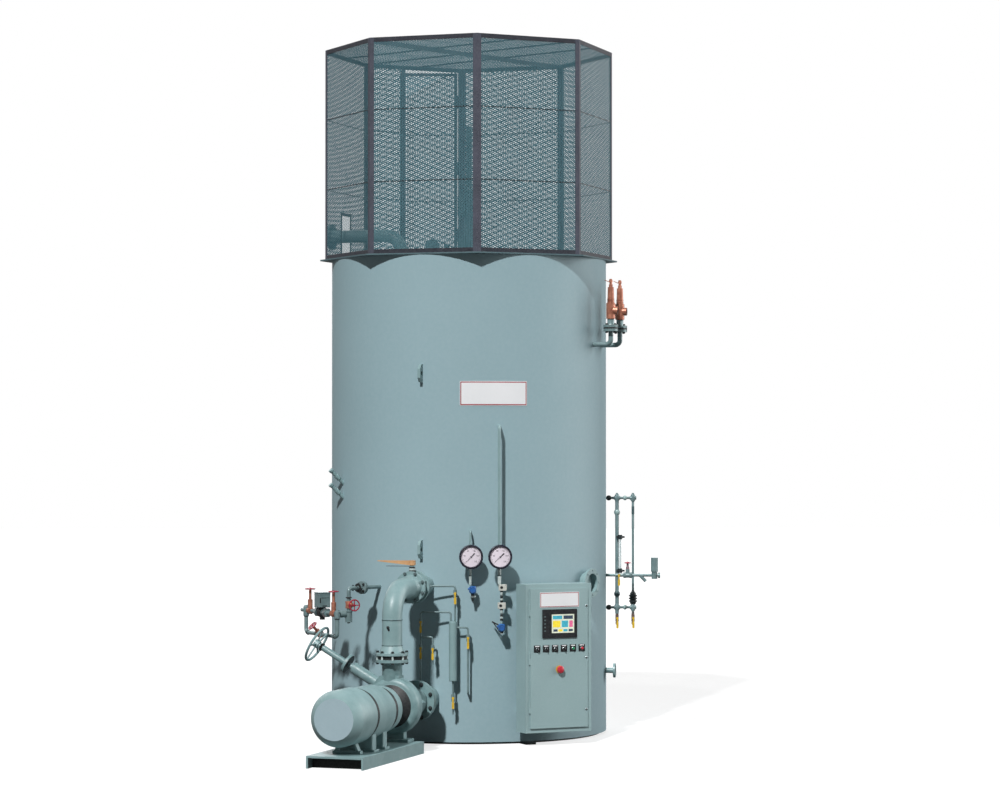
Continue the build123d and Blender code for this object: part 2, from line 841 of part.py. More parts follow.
# Water column, its outer leg with the trap, and the drain legs
with BuildPart() as water_column:
    front_of_column = rightward(column_azimuth) * -1
    for height in (column_low, column_high):
        bar(spot(column_azimuth, shell_radius - column_pipe, height),
            spot(column_azimuth, column_far, height), column_far_pipe)
        for place in (shell_radius + column_union, (column_near + column_far) / 2):
            ring(spot(column_azimuth, place, height), outward(column_azimuth), column_pipe,
                 column_union)
    bar(spot(column_azimuth, column_near, column_bottom),
        spot(column_azimuth, column_near, column_high + column_pipe), column_pipe)
    bar(spot(column_azimuth, column_far, column_bottom),
        spot(column_azimuth, column_far, column_high + column_pipe), column_far_pipe)
    for height in column_unions:
        ring(spot(column_azimuth, column_near, height), (0, 0, 1), column_pipe * 1.35,
             column_union)
    bar(spot(column_azimuth, column_far, trap_low),
        spot(column_azimuth, column_far, trap_low + trap_length), trap_radius)
    for distance in (column_near, column_far):
        bar(spot(column_azimuth, distance, drain_leg_low),
            spot(column_azimuth, distance, column_bottom), column_far_pipe * 0.8)
        valve_body(spot(column_azimuth, distance, column_valve_height), (0, 0, 1),
                   front_of_column, small_valve_radius, small_valve_length, small_valve_neck)
    trim_to_shell()

with BuildPart() as gauge_glass:
    bar(spot(column_azimuth, glass_place, glass_low, -glass_front),
        spot(column_azimuth, glass_place, glass_high, -glass_front), glass_radius)

with BuildPart() as glass_valves:
    for low in (glass_low - glass_block, glass_high):
        bar(spot(column_azimuth, glass_place, low, -glass_front),
            spot(column_azimuth, glass_place, low + glass_block, -glass_front),
            column_far_pipe * 1.3)
        middle = low + glass_block / 2
        bar(spot(column_azimuth, column_near, middle, -column_pipe - seat),
            spot(column_azimuth, column_near, middle, -glass_front), column_far_pipe * 0.8)
        bar(spot(column_azimuth, column_near, middle, -glass_front),
            spot(column_azimuth, glass_place + glass_block, middle, -glass_front),
            column_far_pipe * 0.6)

# Blow line across the front of the columns: ball valve, globe valve, strainer and end fitting
with BuildPart() as blow_line:
    along = outward(blow_azimuth)
    bar(spot(blow_azimuth, shell_radius - sight_coupling, blow_height),
        spot(blow_azimuth, blow_reach, blow_height), blow_pipe)
    valve_body(spot(blow_azimuth, blow_wheel_distance, blow_height), along, (0, 0, 1),
               blow_valve_radius, blow_valve_length,
               blow_wheel_height - blow_height - wheel_hub / 2 - seat)
    valve_body(spot(blow_azimuth, blow_lever_distance, blow_height), along,
               rightward(blow_azimuth) * -1, small_valve_radius, small_valve_length,
               small_valve_neck)
    strainer_root = spot(blow_azimuth, blow_strainer, blow_height)
    bar(strainer_root, strainer_root + (along + Vector(0, 0, -1)).normalized() * blow_leg,
        blow_pipe * 1.1)
    ring(spot(blow_azimuth, blow_reach - blow_cap, blow_height), along, blow_end_radius * 0.8,
         2 * blow_cap)
    ring(spot(blow_azimuth, blow_end, blow_height), (0, 0, 1), blow_end_radius * 0.8,
         2 * blow_end_radius)
    bar(spot(blow_azimuth, blow_end, blow_height + blow_end_radius),
        spot(blow_azimuth, blow_end, blow_end_top), blow_end_radius)
    trim_to_shell()

# Gauges, the pipes that carry them and what hangs under them
with BuildPart() as gauges:
    for across, low, top, radius in gauge_risers:
        face = spot(service_azimuth, gauge_front - gauge_depth, gauge_height, across)
        boss = (gauge_front - gauge_depth - gauge_pipe_line) * cos(
            radians(gauge_turn - service_azimuth)) - radius - seat
        with BuildSketch(Plane(origin=face, x_dir=rightward(gauge_turn),
                               z_dir=outward(gauge_turn))):
            Circle(gauge_radius)
        extrude(amount=gauge_depth)
        bar(face - outward(gauge_turn) * boss, face, gauge_pipe * 2)

with BuildPart() as gauge_piping:
    for across, low, top, radius in gauge_risers:
        run([spot(service_azimuth, gauge_pipe_line, low, across),
             spot(service_azimuth, gauge_pipe_line, top, across),
             spot(service_azimuth, shell_radius * 0.9, top, across)], radius, 2 * radius)
    trim_to_shell()
    for across, low, high in gauge_stubs:
        bar(spot(service_azimuth, gauge_pipe_line, low, across),
            spot(service_azimuth, gauge_pipe_line, high, across), gauge_pipe)

with BuildPart() as instruments:
    for across, low in transmitter_places:
        brick(Plane(origin=spot(service_azimuth, gauge_pipe_line, low, across),
                    x_dir=rightward(service_azimuth), z_dir=(0, 0, 1)),
              transmitter_width, transmitter_depth, transmitter_height)
    for across, low in switch_places:
        brick(Plane(origin=spot(service_azimuth, gauge_pipe_line, low, across),
                    x_dir=rightward(service_azimuth), z_dir=(0, 0, 1)),
              switch_width, switch_depth, switch_height)

# Sample cooler and its pipes, with the bodies of the ball valves
with BuildPart() as sample_cooler:
    bar(spot(service_azimuth, sample_line, cooler_low, cooler_across),
        spot(service_azimuth, sample_line, cooler_high, cooler_across), cooler_radius)
    fillet(sample_cooler.edges().filter_by(GeomType.CIRCLE), radius=cooler_round)

with BuildPart() as sample_piping:
    for route in sample_routes:
        run([spot(service_azimuth, *place) for place in route], sample_pipe, 2.5 * sample_pipe)
    for low, high, across in sample_straights:
        bar(spot(service_azimuth, sample_line, low, across),
            spot(service_azimuth, sample_line, high, across), sample_pipe)
    for name, place in sample_valves.items():
        valve_body(spot(service_azimuth, *place), (0, 0, 1), outward(service_azimuth),
                   small_valve_radius, small_valve_length, small_valve_neck)
    with BuildSketch(facing(pump_azimuth, shell_radius, discharge_height,
                            discharge_across)) as nozzle_gap:
        Circle(discharge_radius + seat)
    extrude(nozzle_gap.sketch, amount=sample_line - shell_radius + shell_wall * 2,
            mode=Mode.SUBTRACT)
    trim_to_shell()

# Cabinet on its brackets
with BuildPart() as cabinet_box:
    back = cabinet_front - cabinet_depth
    box_face = cabinet_front - door_thickness - seat
    cabinet_middle = (cabinet_low + cabinet_high) / 2
    cabinet_height = cabinet_high - cabinet_low
    brick(facing(cabinet_azimuth, back, cabinet_middle, cabinet_across),
          cabinet_width, cabinet_height, box_face - back)
    with BuildSketch(facing(cabinet_azimuth, back + cabinet_wall, cabinet_middle,
                            cabinet_across)):
        Rectangle(cabinet_width - 2 * cabinet_wall, cabinet_height - 2 * cabinet_wall)
    extrude(amount=box_face - back - 2 * cabinet_wall, mode=Mode.SUBTRACT)
    with BuildSketch(facing(cabinet_azimuth, box_face, cabinet_middle, cabinet_across)):
        Rectangle(cabinet_width - 2 * (door_margin + door_overlap),
                  cabinet_height - 2 * (door_margin + door_overlap))
    extrude(amount=-cabinet_wall, mode=Mode.SUBTRACT)
    cabinet_hinge = cabinet_across - cabinet_width / 2 + door_margin - cabinet_knuckle_offset
    for height in cabinet_knuckles:
        knuckle = spot(cabinet_azimuth, box_face + cabinet_knuckle, height, cabinet_hinge)
        bar(knuckle + Vector(0, 0, seat), knuckle + Vector(0, 0, cabinet_knuckle_length),
            cabinet_knuckle)

with BuildPart() as cabinet_mounts:
    brick(facing(cabinet_azimuth, back + cabinet_wall, cabinet_middle, cabinet_across),
          cabinet_width - panel_inset, cabinet_height - panel_inset, cabinet_panel_depth)
    for height in bracket_heights:
        brick(facing(cabinet_azimuth, shell_radius - shell_wall - bracket_reach, height,
                     cabinet_across),
              bracket_width, bracket_height, back - shell_radius + shell_wall + bracket_reach)
    trim_to_shell()

with BuildPart() as cabinet_door:
    door_wide = cabinet_width - 2 * door_margin
    door_tall = cabinet_height - 2 * door_margin
    brick(facing(cabinet_azimuth, cabinet_front - door_thickness, cabinet_middle,
                 cabinet_across), door_wide, door_tall, door_thickness)
    with BuildSketch(facing(cabinet_azimuth, cabinet_front - door_thickness, cabinet_middle,
                            cabinet_across)):
        Rectangle(door_wide - 2 * door_skin, door_tall - 2 * door_skin)
    extrude(amount=door_thickness - door_skin, mode=Mode.SUBTRACT)
    for height in cabinet_knuckles:
        knuckle = spot(cabinet_azimuth, box_face + cabinet_knuckle, height, cabinet_hinge)
        bar(knuckle - Vector(0, 0, cabinet_knuckle_length), knuckle, cabinet_knuckle)
        brick(facing(cabinet_azimuth, cabinet_front - door_skin,
                     height - cabinet_knuckle_length / 2,
                     cabinet_hinge + cabinet_knuckle_offset / 2),
              cabinet_knuckle_offset + door_skin, cabinet_knuckle_length, door_skin)

with BuildPart() as door_controls:
    brick(facing(cabinet_azimuth, cabinet_front, screen_height, cabinet_across),
          bezel_width, bezel_height, bezel_depth)
    with BuildSketch(facing(cabinet_azimuth, cabinet_front + bezel_depth, screen_height,
                            cabinet_across + screen_shift)):
        Rectangle(screen_width, screen_tall)
    extrude(amount=-screen_recess, mode=Mode.SUBTRACT)
    legend_start = cabinet_across - legend_pitch * (legend_count - 1) / 2
    for number in range(legend_count):
        place = legend_start + number * legend_pitch
        brick(facing(cabinet_azimuth, cabinet_front, legend_height, place),
              legend_size, legend_size, legend_depth)
        with BuildSketch(facing(cabinet_azimuth, cabinet_front + legend_depth, legend_height,
                                place)):
            Circle(knob_radius)
        extrude(amount=knob_depth)
    bar(spot(cabinet_azimuth, cabinet_front, stop_height, cabinet_across),
        spot(cabinet_azimuth, cabinet_front + stop_stem, stop_height, cabinet_across),
        knob_radius)
    bar(spot(cabinet_azimuth, cabinet_front + stop_stem, stop_height, cabinet_across),
        spot(cabinet_azimuth, cabinet_front + stop_depth, stop_height, cabinet_across),
        stop_radius)

# Pump train: inverted channel, pump, lantern and motor
with BuildPart() as pump_base:
    middle = base_start + base_length / 2
    brick(facing(pump_azimuth, base_start, channel_height / 2, pump_across),
          base_width, channel_height, base_length)
    with BuildSketch(facing(pump_azimuth, base_start, (channel_height - channel_wall) / 2,
                            pump_across)):
        Rectangle(base_width - 2 * channel_wall, channel_height - channel_wall)
    extrude(amount=base_length, mode=Mode.SUBTRACT)

with BuildPart() as pump_nozzles:
    bar(spot(pump_azimuth, shell_radius - shell_wall, shaft_height, pump_across),
        spot(pump_azimuth, nozzle_face, shaft_height, pump_across), suction_radius)
    bar(spot(pump_azimuth, nozzle_face - suction_thickness, shaft_height, pump_across),
        spot(pump_azimuth, nozzle_face, shaft_height, pump_across), suction_flange)
    wafer_face = discharge_pair - discharge_thickness / 2 - wafer_depth
    bar(spot(pump_azimuth, shell_radius - shell_wall, discharge_height, discharge_across),
        spot(pump_azimuth, wafer_face, discharge_height, discharge_across), discharge_radius)
    bar(spot(pump_azimuth, wafer_face - discharge_thickness, discharge_height, discharge_across),
        spot(pump_azimuth, wafer_face, discharge_height, discharge_across), discharge_flange)
    trim_to_shell()

with BuildPart() as suction_valve:
    valve_end = 2 * valve_place - nozzle_face
    centre = spot(pump_azimuth, valve_place, shaft_height, pump_across)
    stem = (rightward(pump_azimuth) * -cos(radians(stem_tilt))
            + Vector(0, 0, sin(radians(stem_tilt))))
    for near in (nozzle_face, valve_end - suction_thickness):
        bar(spot(pump_azimuth, near, shaft_height, pump_across),
            spot(pump_azimuth, near + suction_thickness, shaft_height, pump_across),
            suction_flange)
    bar(spot(pump_azimuth, nozzle_face, shaft_height, pump_across),
        spot(pump_azimuth, valve_end, shaft_height, pump_across), suction_radius)
    with BuildSketch(Plane(origin=centre - stem * valve_belly, x_dir=outward(pump_azimuth),
                           z_dir=stem)):
        SlotOverall(valve_body_width, valve_body_depth)
    extrude(amount=valve_belly + bonnet_low)
    with BuildSketch(Plane(origin=centre + stem * bonnet_low, x_dir=outward(pump_azimuth),
                           z_dir=stem)):
        SlotOverall(valve_body_width + bonnet_lip, valve_body_depth + bonnet_lip)
    extrude(amount=bonnet_flange)
    bar(centre + stem * bonnet_low, centre + stem * bonnet_high, bonnet_radius)
    bar(centre + stem * bonnet_high, centre + stem * collar_place, stem_radius)
    ring(centre + stem * collar_place, stem, collar_radius, collar_depth)
    bar(centre + stem * collar_place, centre + stem * (wheel_reach - hub_length / 2 - seat),
        stem_tube)

with BuildPart() as suction_handwheel:
    hand_wheel(Plane(origin=centre + stem * wheel_reach, x_dir=outward(pump_azimuth),
                     z_dir=stem),
               wheel_radius, wheel_rim, 5, stem_tube * 1.3, hub_length)

with BuildPart() as pump_casing:
    bar(spot(pump_azimuth, valve_end, shaft_height, pump_across),
        spot(pump_azimuth, valve_end + suction_thickness, shaft_height, pump_across),
        suction_flange)
    bar(spot(pump_azimuth, valve_end, shaft_height, pump_across),
        spot(pump_azimuth, volute_place, shaft_height, pump_across), suction_radius)
    with BuildSketch(facing(pump_azimuth, volute_place - volute_depth / 2, shaft_height,
                            pump_across)):
        Circle(volute_radius)
        with Locations((-volute_radius + neck_width / 2, neck_rise / 2)):
            Rectangle(neck_width, neck_rise)
    extrude(amount=volute_depth)
    fillet(pump_casing.edges().filter_by(GeomType.CIRCLE).group_by(SortBy.RADIUS)[-1],
           radius=volute_round)
    neck_low = Plane(origin=spot(pump_azimuth, volute_place, shaft_height + neck_rise,
                                 pump_across - volute_radius + neck_width / 2),
                     x_dir=rightward(pump_azimuth), z_dir=(0, 0, 1))
    neck_high = Plane(origin=spot(pump_azimuth, discharge_place,
                                  pump_outlet - discharge_thickness, discharge_across),
                      x_dir=rightward(pump_azimuth), z_dir=(0, 0, 1))
    with BuildSketch(neck_low):
        Rectangle(neck_width, volute_depth)
    with BuildSketch(neck_high):
        Circle(discharge_radius)
    loft()
    bar(neck_high.origin, neck_high.origin + Vector(0, 0, discharge_thickness),
        discharge_flange)
    foot = facing(pump_azimuth, volute_place - volute_depth / 4,
                  (channel_height + shaft_height) / 2, pump_across)
    brick(foot, pump_foot_width, shaft_height - channel_height, volute_depth / 2)
    brick(Plane(origin=spot(pump_azimuth, volute_place, channel_height, pump_across),
                x_dir=rightward(pump_azimuth), z_dir=(0, 0, 1)),
          pump_foot_width * 1.5, volute_depth, pump_foot_pad)

with BuildPart() as bell_housing:
    bell_start = volute_place + volute_depth / 2
    with BuildSketch(facing(pump_azimuth, bell_start, shaft_height, pump_across)):
        Circle(bell_radius)
    with BuildSketch(facing(pump_azimuth, motor_start, shaft_height, pump_across)):
        Circle(motor_radius * 0.9)
    loft()
    with BuildSketch(facing(pump_azimuth, bell_start + bell_wall, shaft_height, pump_across)):
        Circle(bell_radius - bell_wall)
    extrude(amount=motor_start - bell_start - 2 * bell_wall, mode=Mode.SUBTRACT)
    for turn in (0, 90):
        window = Plane(origin=spot(pump_azimuth, (bell_start + motor_start) / 2, shaft_height,
                                   pump_across),
                       x_dir=outward(pump_azimuth),
                       z_dir=facing(pump_azimuth).rotated((0, 0, turn)).x_dir)
        with BuildSketch(window):
            RectangleRounded(motor_start - bell_start - 5 * bell_wall, window_height,
                             window_height / 4)
        extrude(amount=motor_radius, both=True, mode=Mode.SUBTRACT)
    bar(spot(pump_azimuth, bell_start, shaft_height, pump_across),
        spot(pump_azimuth, motor_start, shaft_height, pump_across), shaft_radius)

with BuildPart() as motor:
    bar(spot(pump_azimuth, motor_start, shaft_height, pump_across),
        spot(pump_azimuth, motor_end, shaft_height, pump_across), motor_radius * 0.95)
    bar(spot(pump_azimuth, motor_start, shaft_height, pump_across),
        spot(pump_azimuth, motor_start + end_shield, shaft_height, pump_across), motor_radius)
    for place in motor_feet:
        brick(facing(pump_azimuth, place, (channel_height + shaft_height) / 2, pump_across),
              motor_foot_width, shaft_height - channel_height, motor_foot_length)

with BuildPart() as fan_cover:
    with BuildSketch(facing(pump_azimuth, motor_end, shaft_height, pump_across)):
        Circle(motor_radius)
    extrude(amount=cowl_end - motor_end)
    chamfer(fan_cover.faces().sort_by(Axis(origin=(0, 0, 0),
                                           direction=outward(pump_azimuth)))[-1].edges(),
            length=cowl_rim)

# Discharge riser, wafer valve and lever
with BuildPart() as discharge_riser:
    riser_face = discharge_pair + discharge_thickness / 2
    run([spot(pump_azimuth, discharge_place, pump_outlet, discharge_across),
         spot(pump_azimuth, discharge_place, discharge_height, discharge_across),
         spot(pump_azimuth, discharge_pair - discharge_thickness / 2, discharge_height,
              discharge_across)], discharge_radius, discharge_bend)
    bar(spot(pump_azimuth, discharge_place, pump_outlet, discharge_across),
        spot(pump_azimuth, discharge_place, pump_outlet + discharge_thickness,
             discharge_across), discharge_flange)
    bar(spot(pump_azimuth, discharge_pair - discharge_thickness / 2, discharge_height,
             discharge_across),
        spot(pump_azimuth, riser_face, discharge_height, discharge_across), discharge_flange)

with BuildPart() as discharge_valve:
    wafer_end = discharge_pair - discharge_thickness / 2
    bar(spot(pump_azimuth, wafer_face, discharge_height, discharge_across),
        spot(pump_azimuth, wafer_end, discharge_height, discharge_across), wafer_radius)
    lever_place = (wafer_face + wafer_end) / 2
    bar(spot(pump_azimuth, lever_place, discharge_height, discharge_across),
        spot(pump_azimuth, lever_place, lever_height - seat, discharge_across), wafer_neck)

with BuildPart() as discharge_lever:
    lever(Plane(origin=spot(pump_azimuth, lever_place, lever_height, discharge_across),
                x_dir=rightward(pump_azimuth) * -1, z_dir=(0, 0, 1)),
          lever_length, lever_width, lever_depth, wafer_neck * 1.4)

# Feed train with its bypass, riser and inlet
with BuildPart() as feed_piping:
    half = gate_valve_length / 2
    control_half = control_length / 2
    low = feed_height - feed_drop
    run([spot(feed_azimuth, feed_distance, feed_height, feed_gates[0] - half),
         spot(feed_azimuth, feed_distance, feed_height, feed_left),
         spot(feed_azimuth, feed_distance, low, feed_left),
         spot(feed_azimuth, feed_distance, low, feed_bypass - half)], feed_pipe, feed_bend)
    run([spot(feed_azimuth, feed_distance, feed_height, feed_gates[1] + half),
         spot(feed_azimuth, feed_distance, feed_height, feed_right),
         spot(feed_azimuth, feed_distance, low, feed_right),
         spot(feed_azimuth, feed_distance, low, feed_bypass + half)], feed_pipe, feed_bend)
    bar(spot(feed_azimuth, feed_distance, feed_height, feed_left + feed_bend),
        spot(feed_azimuth, feed_distance, feed_height, -feed_inlet_reach), feed_pipe)
    for start, end in ((feed_gates[0] + half, feed_control - control_half),
                       (feed_control + control_half, feed_gates[1] - half)):
        bar(spot(feed_azimuth, feed_distance, feed_height, start),
            spot(feed_azimuth, feed_distance, feed_height, end), feed_pipe)
    tee = spot(feed_azimuth, feed_distance, feed_height, feed_right - feed_bend)
    foot_point = spot(feed_nozzle_azimuth, riser_distance, feed_height)
    bar(tee, foot_point, feed_pipe)
    ring((tee + foot_point) / 2, foot_point - tee, strainer_radius, strainer_length)
    bar(spot(feed_nozzle_azimuth, riser_distance, bottle_low),
        spot(feed_nozzle_azimuth, riser_distance, bottle_high), bottle_radius)
    bar(spot(feed_nozzle_azimuth, riser_distance, bottle_high),
        spot(feed_nozzle_azimuth, riser_distance, riser_wheel_height - half), feed_pipe)
    run([spot(feed_nozzle_azimuth, riser_distance, riser_wheel_height + half),
         spot(feed_nozzle_azimuth, riser_distance, feed_nozzle_height),
         spot(feed_nozzle_azimuth, shell_radius - feed_pipe, feed_nozzle_height)],
        feed_pipe, feed_bend)
    ring(spot(feed_nozzle_azimuth, feed_flange_place, feed_nozzle_height),
         outward(feed_nozzle_azimuth), feed_flange_radius, feed_flange_depth)
    inlet = spot(feed_azimuth, feed_distance, feed_height, -feed_inlet_reach)
    with BuildSketch(Plane(origin=inlet, z_dir=rightward(feed_azimuth))):
        Circle(feed_inlet_bore)
    extrude(amount=feed_inlet_depth, mode=Mode.SUBTRACT)
    trim_to_shell()

with BuildPart() as feed_gate_valves:
    neck = feed_wheel_height - feed_height - wheel_hub / 2 - seat
    for across in feed_gates:
        valve_body(spot(feed_azimuth, feed_distance, feed_height, across),
                   rightward(feed_azimuth), (0, 0, 1), gate_valve_radius, gate_valve_length,
                   neck)
    bypass_stem = outward(feed_azimuth) + Vector(0, 0, 1)
    bypass_centre = spot(feed_azimuth, feed_distance, low, feed_bypass)
    valve_body(bypass_centre, rightward(feed_azimuth), bypass_stem, gate_valve_radius,
               gate_valve_length, bypass_reach - wheel_hub / 2 - seat)
    riser_centre = spot(feed_nozzle_azimuth, riser_distance, riser_wheel_height)
    valve_body(riser_centre, (0, 0, 1), outward(riser_wheel_turn), gate_valve_radius,
               gate_valve_length, riser_wheel_reach - wheel_hub / 2 - seat)

with BuildPart() as feed_control_valve:
    middle_point = spot(feed_azimuth, feed_distance, feed_height, feed_control)
    along = rightward(feed_azimuth)
    bar(middle_point - along * control_half, middle_point + along * control_half,
        control_radius)
    for side in (-1, 1):
        ring(middle_point + along * (side * (control_half - control_flange_depth / 2)), along,
             control_flange, control_flange_depth)
    bar(middle_point, (middle_point.X, middle_point.Y, actuator_low), control_radius * 0.7)
    brick(Plane(origin=spot(feed_azimuth, feed_distance, actuator_low, feed_control),
                x_dir=rightward(feed_azimuth), z_dir=(0, 0, 1)),
          actuator_width, actuator_width, actuator_height)

# Red handwheels, each on its stem
wheel_places = {
    "feed_wheel_left": (spot(feed_azimuth, feed_distance, feed_wheel_height, feed_gates[0]),
                        Vector(0, 0, 1), feed_wheel_radius),
    "feed_wheel_right": (spot(feed_azimuth, feed_distance, feed_wheel_height, feed_gates[1]),
                         Vector(0, 0, 1), feed_wheel_radius),
    "bypass_wheel": (bypass_centre + bypass_stem.normalized() * bypass_reach, bypass_stem,
                     feed_wheel_radius),
    "riser_wheel": (riser_centre + outward(riser_wheel_turn) * riser_wheel_reach,
                    outward(riser_wheel_turn), riser_wheel_radius),
    "blow_wheel": (spot(blow_azimuth, blow_wheel_distance, blow_wheel_height),
                   Vector(0, 0, 1), blow_wheel_radius),
}
moving = []
for name, (place, direction, radius) in wheel_places.items():
    with BuildPart() as red_wheel:
        hand_wheel(Plane(origin=place, z_dir=direction), radius, wheel_rim * 0.55, 4,
                   small_hub, wheel_hub)
    moving.append((name, red_wheel.part))

# Ball valve levers: hub place, stem direction, grip direction and length
down = Vector(0, 0, -1)
lever_places = {}
for name, place in sample_valves.items():
    hub = spot(service_azimuth, *place) + outward(service_azimuth) * (small_valve_neck + seat)
    lever_places[name] = (hub, outward(service_azimuth), down, small_lever)
for name, distance in (("column_lever_near", column_near), ("column_lever_far", column_far)):
    hub = (spot(column_azimuth, distance, column_valve_height)
           - rightward(column_azimuth) * (small_valve_neck + seat))
    lever_places[name] = (hub, rightward(column_azimuth) * -1, down, small_lever)
hub = (spot(blow_azimuth, blow_lever_distance, blow_height)
       - rightward(blow_azimuth) * (small_valve_neck + seat))
lever_places["blow_lever"] = (hub, rightward(blow_azimuth) * -1, down, small_lever)
for name, (place, direction, grip, length) in lever_places.items():
    with BuildPart() as ball_lever:
        lever(Plane(origin=place, x_dir=grip, z_dir=direction), length, small_lever_width,
              small_lever_depth, small_lever_hub)
    moving.append((name, ball_lever.part))

fixed = [
    ("base_plate", base_plate), ("vessel_shell", vessel_shell), 
    ("deck_plate", deck_plate), ("cover_plate", cover_plate), ("cage_posts", cage_posts),
    ("cage_rails", cage_rails), ("mesh_panels", mesh_panels), ("cage_door", cage_door),
    ("roof_frame", roof_frame), ("roof_mesh", roof_mesh), ("steam_pipe", steam_pipe),
     ("lift_cylinder", lift_cylinder),
     ("head_fittings", head_fittings),
    ("lifting_lugs", lifting_lugs), ("side_nozzles", side_nozzles), 
     
    ("relief_piping", relief_piping), ("relief_valves", relief_valves),
    ("water_column", water_column), ("gauge_glass", gauge_glass),
    ("glass_valves", glass_valves), 
    ("blow_line", blow_line), ("gauges", gauges), ("instruments", instruments), ("gauge_piping", gauge_piping),
     
    ("sample_cooler", sample_cooler), ("sample_piping", sample_piping),
    ("cabinet_box", cabinet_box), ("cabinet_mounts", cabinet_mounts), 
     ("cabinet_door", cabinet_door),
     ("door_controls", door_controls),
    ("pump_base", pump_base), ("pump_nozzles", pump_nozzles),
    ("suction_valve", suction_valve), ("suction_handwheel", suction_handwheel),
    ("pump_casing", pump_casing), ("bell_housing", bell_housing), ("motor", motor),
    ("fan_cover", fan_cover), ("discharge_riser", discharge_riser),
    ("discharge_valve", discharge_valve), ("discharge_lever", discharge_lever),
    ("feed_piping", feed_piping), ("feed_gate_valves", feed_gate_valves),
    ("feed_control_valve", feed_control_valve), 
]

os.makedirs("parts", exist_ok=True)
for name, piece in [(name, builder.part) for name, builder in fixed] + moving:
    piece.label = name
    export_step(piece, "parts/" + name + ".step")
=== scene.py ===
import bpy
import bmesh
from math import atan, cos, sin, tan, radians, pi
from mathutils import Matrix, Vector


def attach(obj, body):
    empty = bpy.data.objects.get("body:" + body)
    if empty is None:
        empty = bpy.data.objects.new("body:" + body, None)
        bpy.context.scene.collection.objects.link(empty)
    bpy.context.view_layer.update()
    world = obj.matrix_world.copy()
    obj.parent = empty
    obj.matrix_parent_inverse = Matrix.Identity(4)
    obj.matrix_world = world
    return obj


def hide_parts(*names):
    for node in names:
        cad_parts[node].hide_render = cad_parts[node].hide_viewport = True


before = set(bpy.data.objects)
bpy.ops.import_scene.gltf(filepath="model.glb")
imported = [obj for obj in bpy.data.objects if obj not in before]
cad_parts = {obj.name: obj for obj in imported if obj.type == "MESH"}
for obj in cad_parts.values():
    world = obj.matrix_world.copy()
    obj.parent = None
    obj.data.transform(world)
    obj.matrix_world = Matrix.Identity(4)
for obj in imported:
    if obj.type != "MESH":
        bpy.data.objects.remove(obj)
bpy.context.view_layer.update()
bpy.context.scene.view_settings.view_transform = "Standard"


# Places, in metres: an azimuth is counted about the axis from the front

def outward(azimuth):
    return Vector((sin(radians(azimuth)), -cos(radians(azimuth)), 0.0))


def rightward(azimuth):
    return Vector((cos(radians(azimuth)), sin(radians(azimuth)), 0.0))


UP = Vector((0.0, 0.0, 1.0))


def spot(azimuth, distance, height, across=0.0):
    return outward(azimuth) * distance + rightward(azimuth) * across + UP * height


def basis(origin, x_dir, z_dir):
    """Matrix of a local frame with its x and z along the given directions."""
    z = Vector(z_dir).normalized()
    x = Vector(x_dir)
    x = (x - z * x.dot(z)).normalized()
    y = z.cross(x)
    m = Matrix.Identity(4)
    for i, v in enumerate((x, y, z)):
        for j in range(3):
            m[j][i] = v[j]
    for j in range(3):
        m[j][3] = origin[j]
    return m


def facing(azimuth, distance, height, across=0.0):
    """Local frame that faces outward: x right, y up, z outward."""
    return basis(spot(azimuth, distance, height, across), rightward(azimuth), outward(azimuth))


def along(origin, direction):
    """Local frame with z along a direction."""
    d = Vector(direction).normalized()
    side = UP if abs(d.z) < 0.9 else Vector((1.0, 0.0, 0.0))
    return basis(origin, side.cross(d), d)


def standing(azimuth, distance, height, across=0.0):
    """Local frame that stands upright: x right, z up."""
    return basis(spot(azimuth, distance, height, across), rightward(azimuth), UP)


def shift(at, x=0.0, y=0.0, z=0.0, turn=0.0):
    return at @ Matrix.Translation((x, y, z)) @ Matrix.Rotation(radians(turn), 4, "Z")


def ring(at, radius, count, turn=0.0):
    """Local frames spaced evenly on a circle about a frame's z."""
    for k in range(count):
        a = radians(turn + 360.0 * k / count)
        yield shift(at, radius * cos(a), radius * sin(a))


# Sizes and azimuths that repeat the CAD's, in metres and degrees
SHELL = 1.219
SERVICE = -3.06
PUMP = -22.5
FEED = -67.5
CABINET = 22.5
DECK = 4.188
CAGE_TOP = 6.051
CAGE_R = 1.280
LEAN = radians(22.5)
APOTHEM = CAGE_R * cos(LEAN)
CHORD = 2 * CAGE_R * sin(LEAN)
LEG = 0.038


# Materials

def linear(value):
    return value / 12.92 if value <= 0.04045 else ((value + 0.055) / 1.055) ** 2.4


def shade(colour):
    """sRGB 0-255 to linear RGBA."""
    return tuple(linear(c / 255) for c in colour) + (1.0,)


def mixed(a, b, t):
    return tuple(x * (1 - t) + y * t for x, y in zip(a, b))


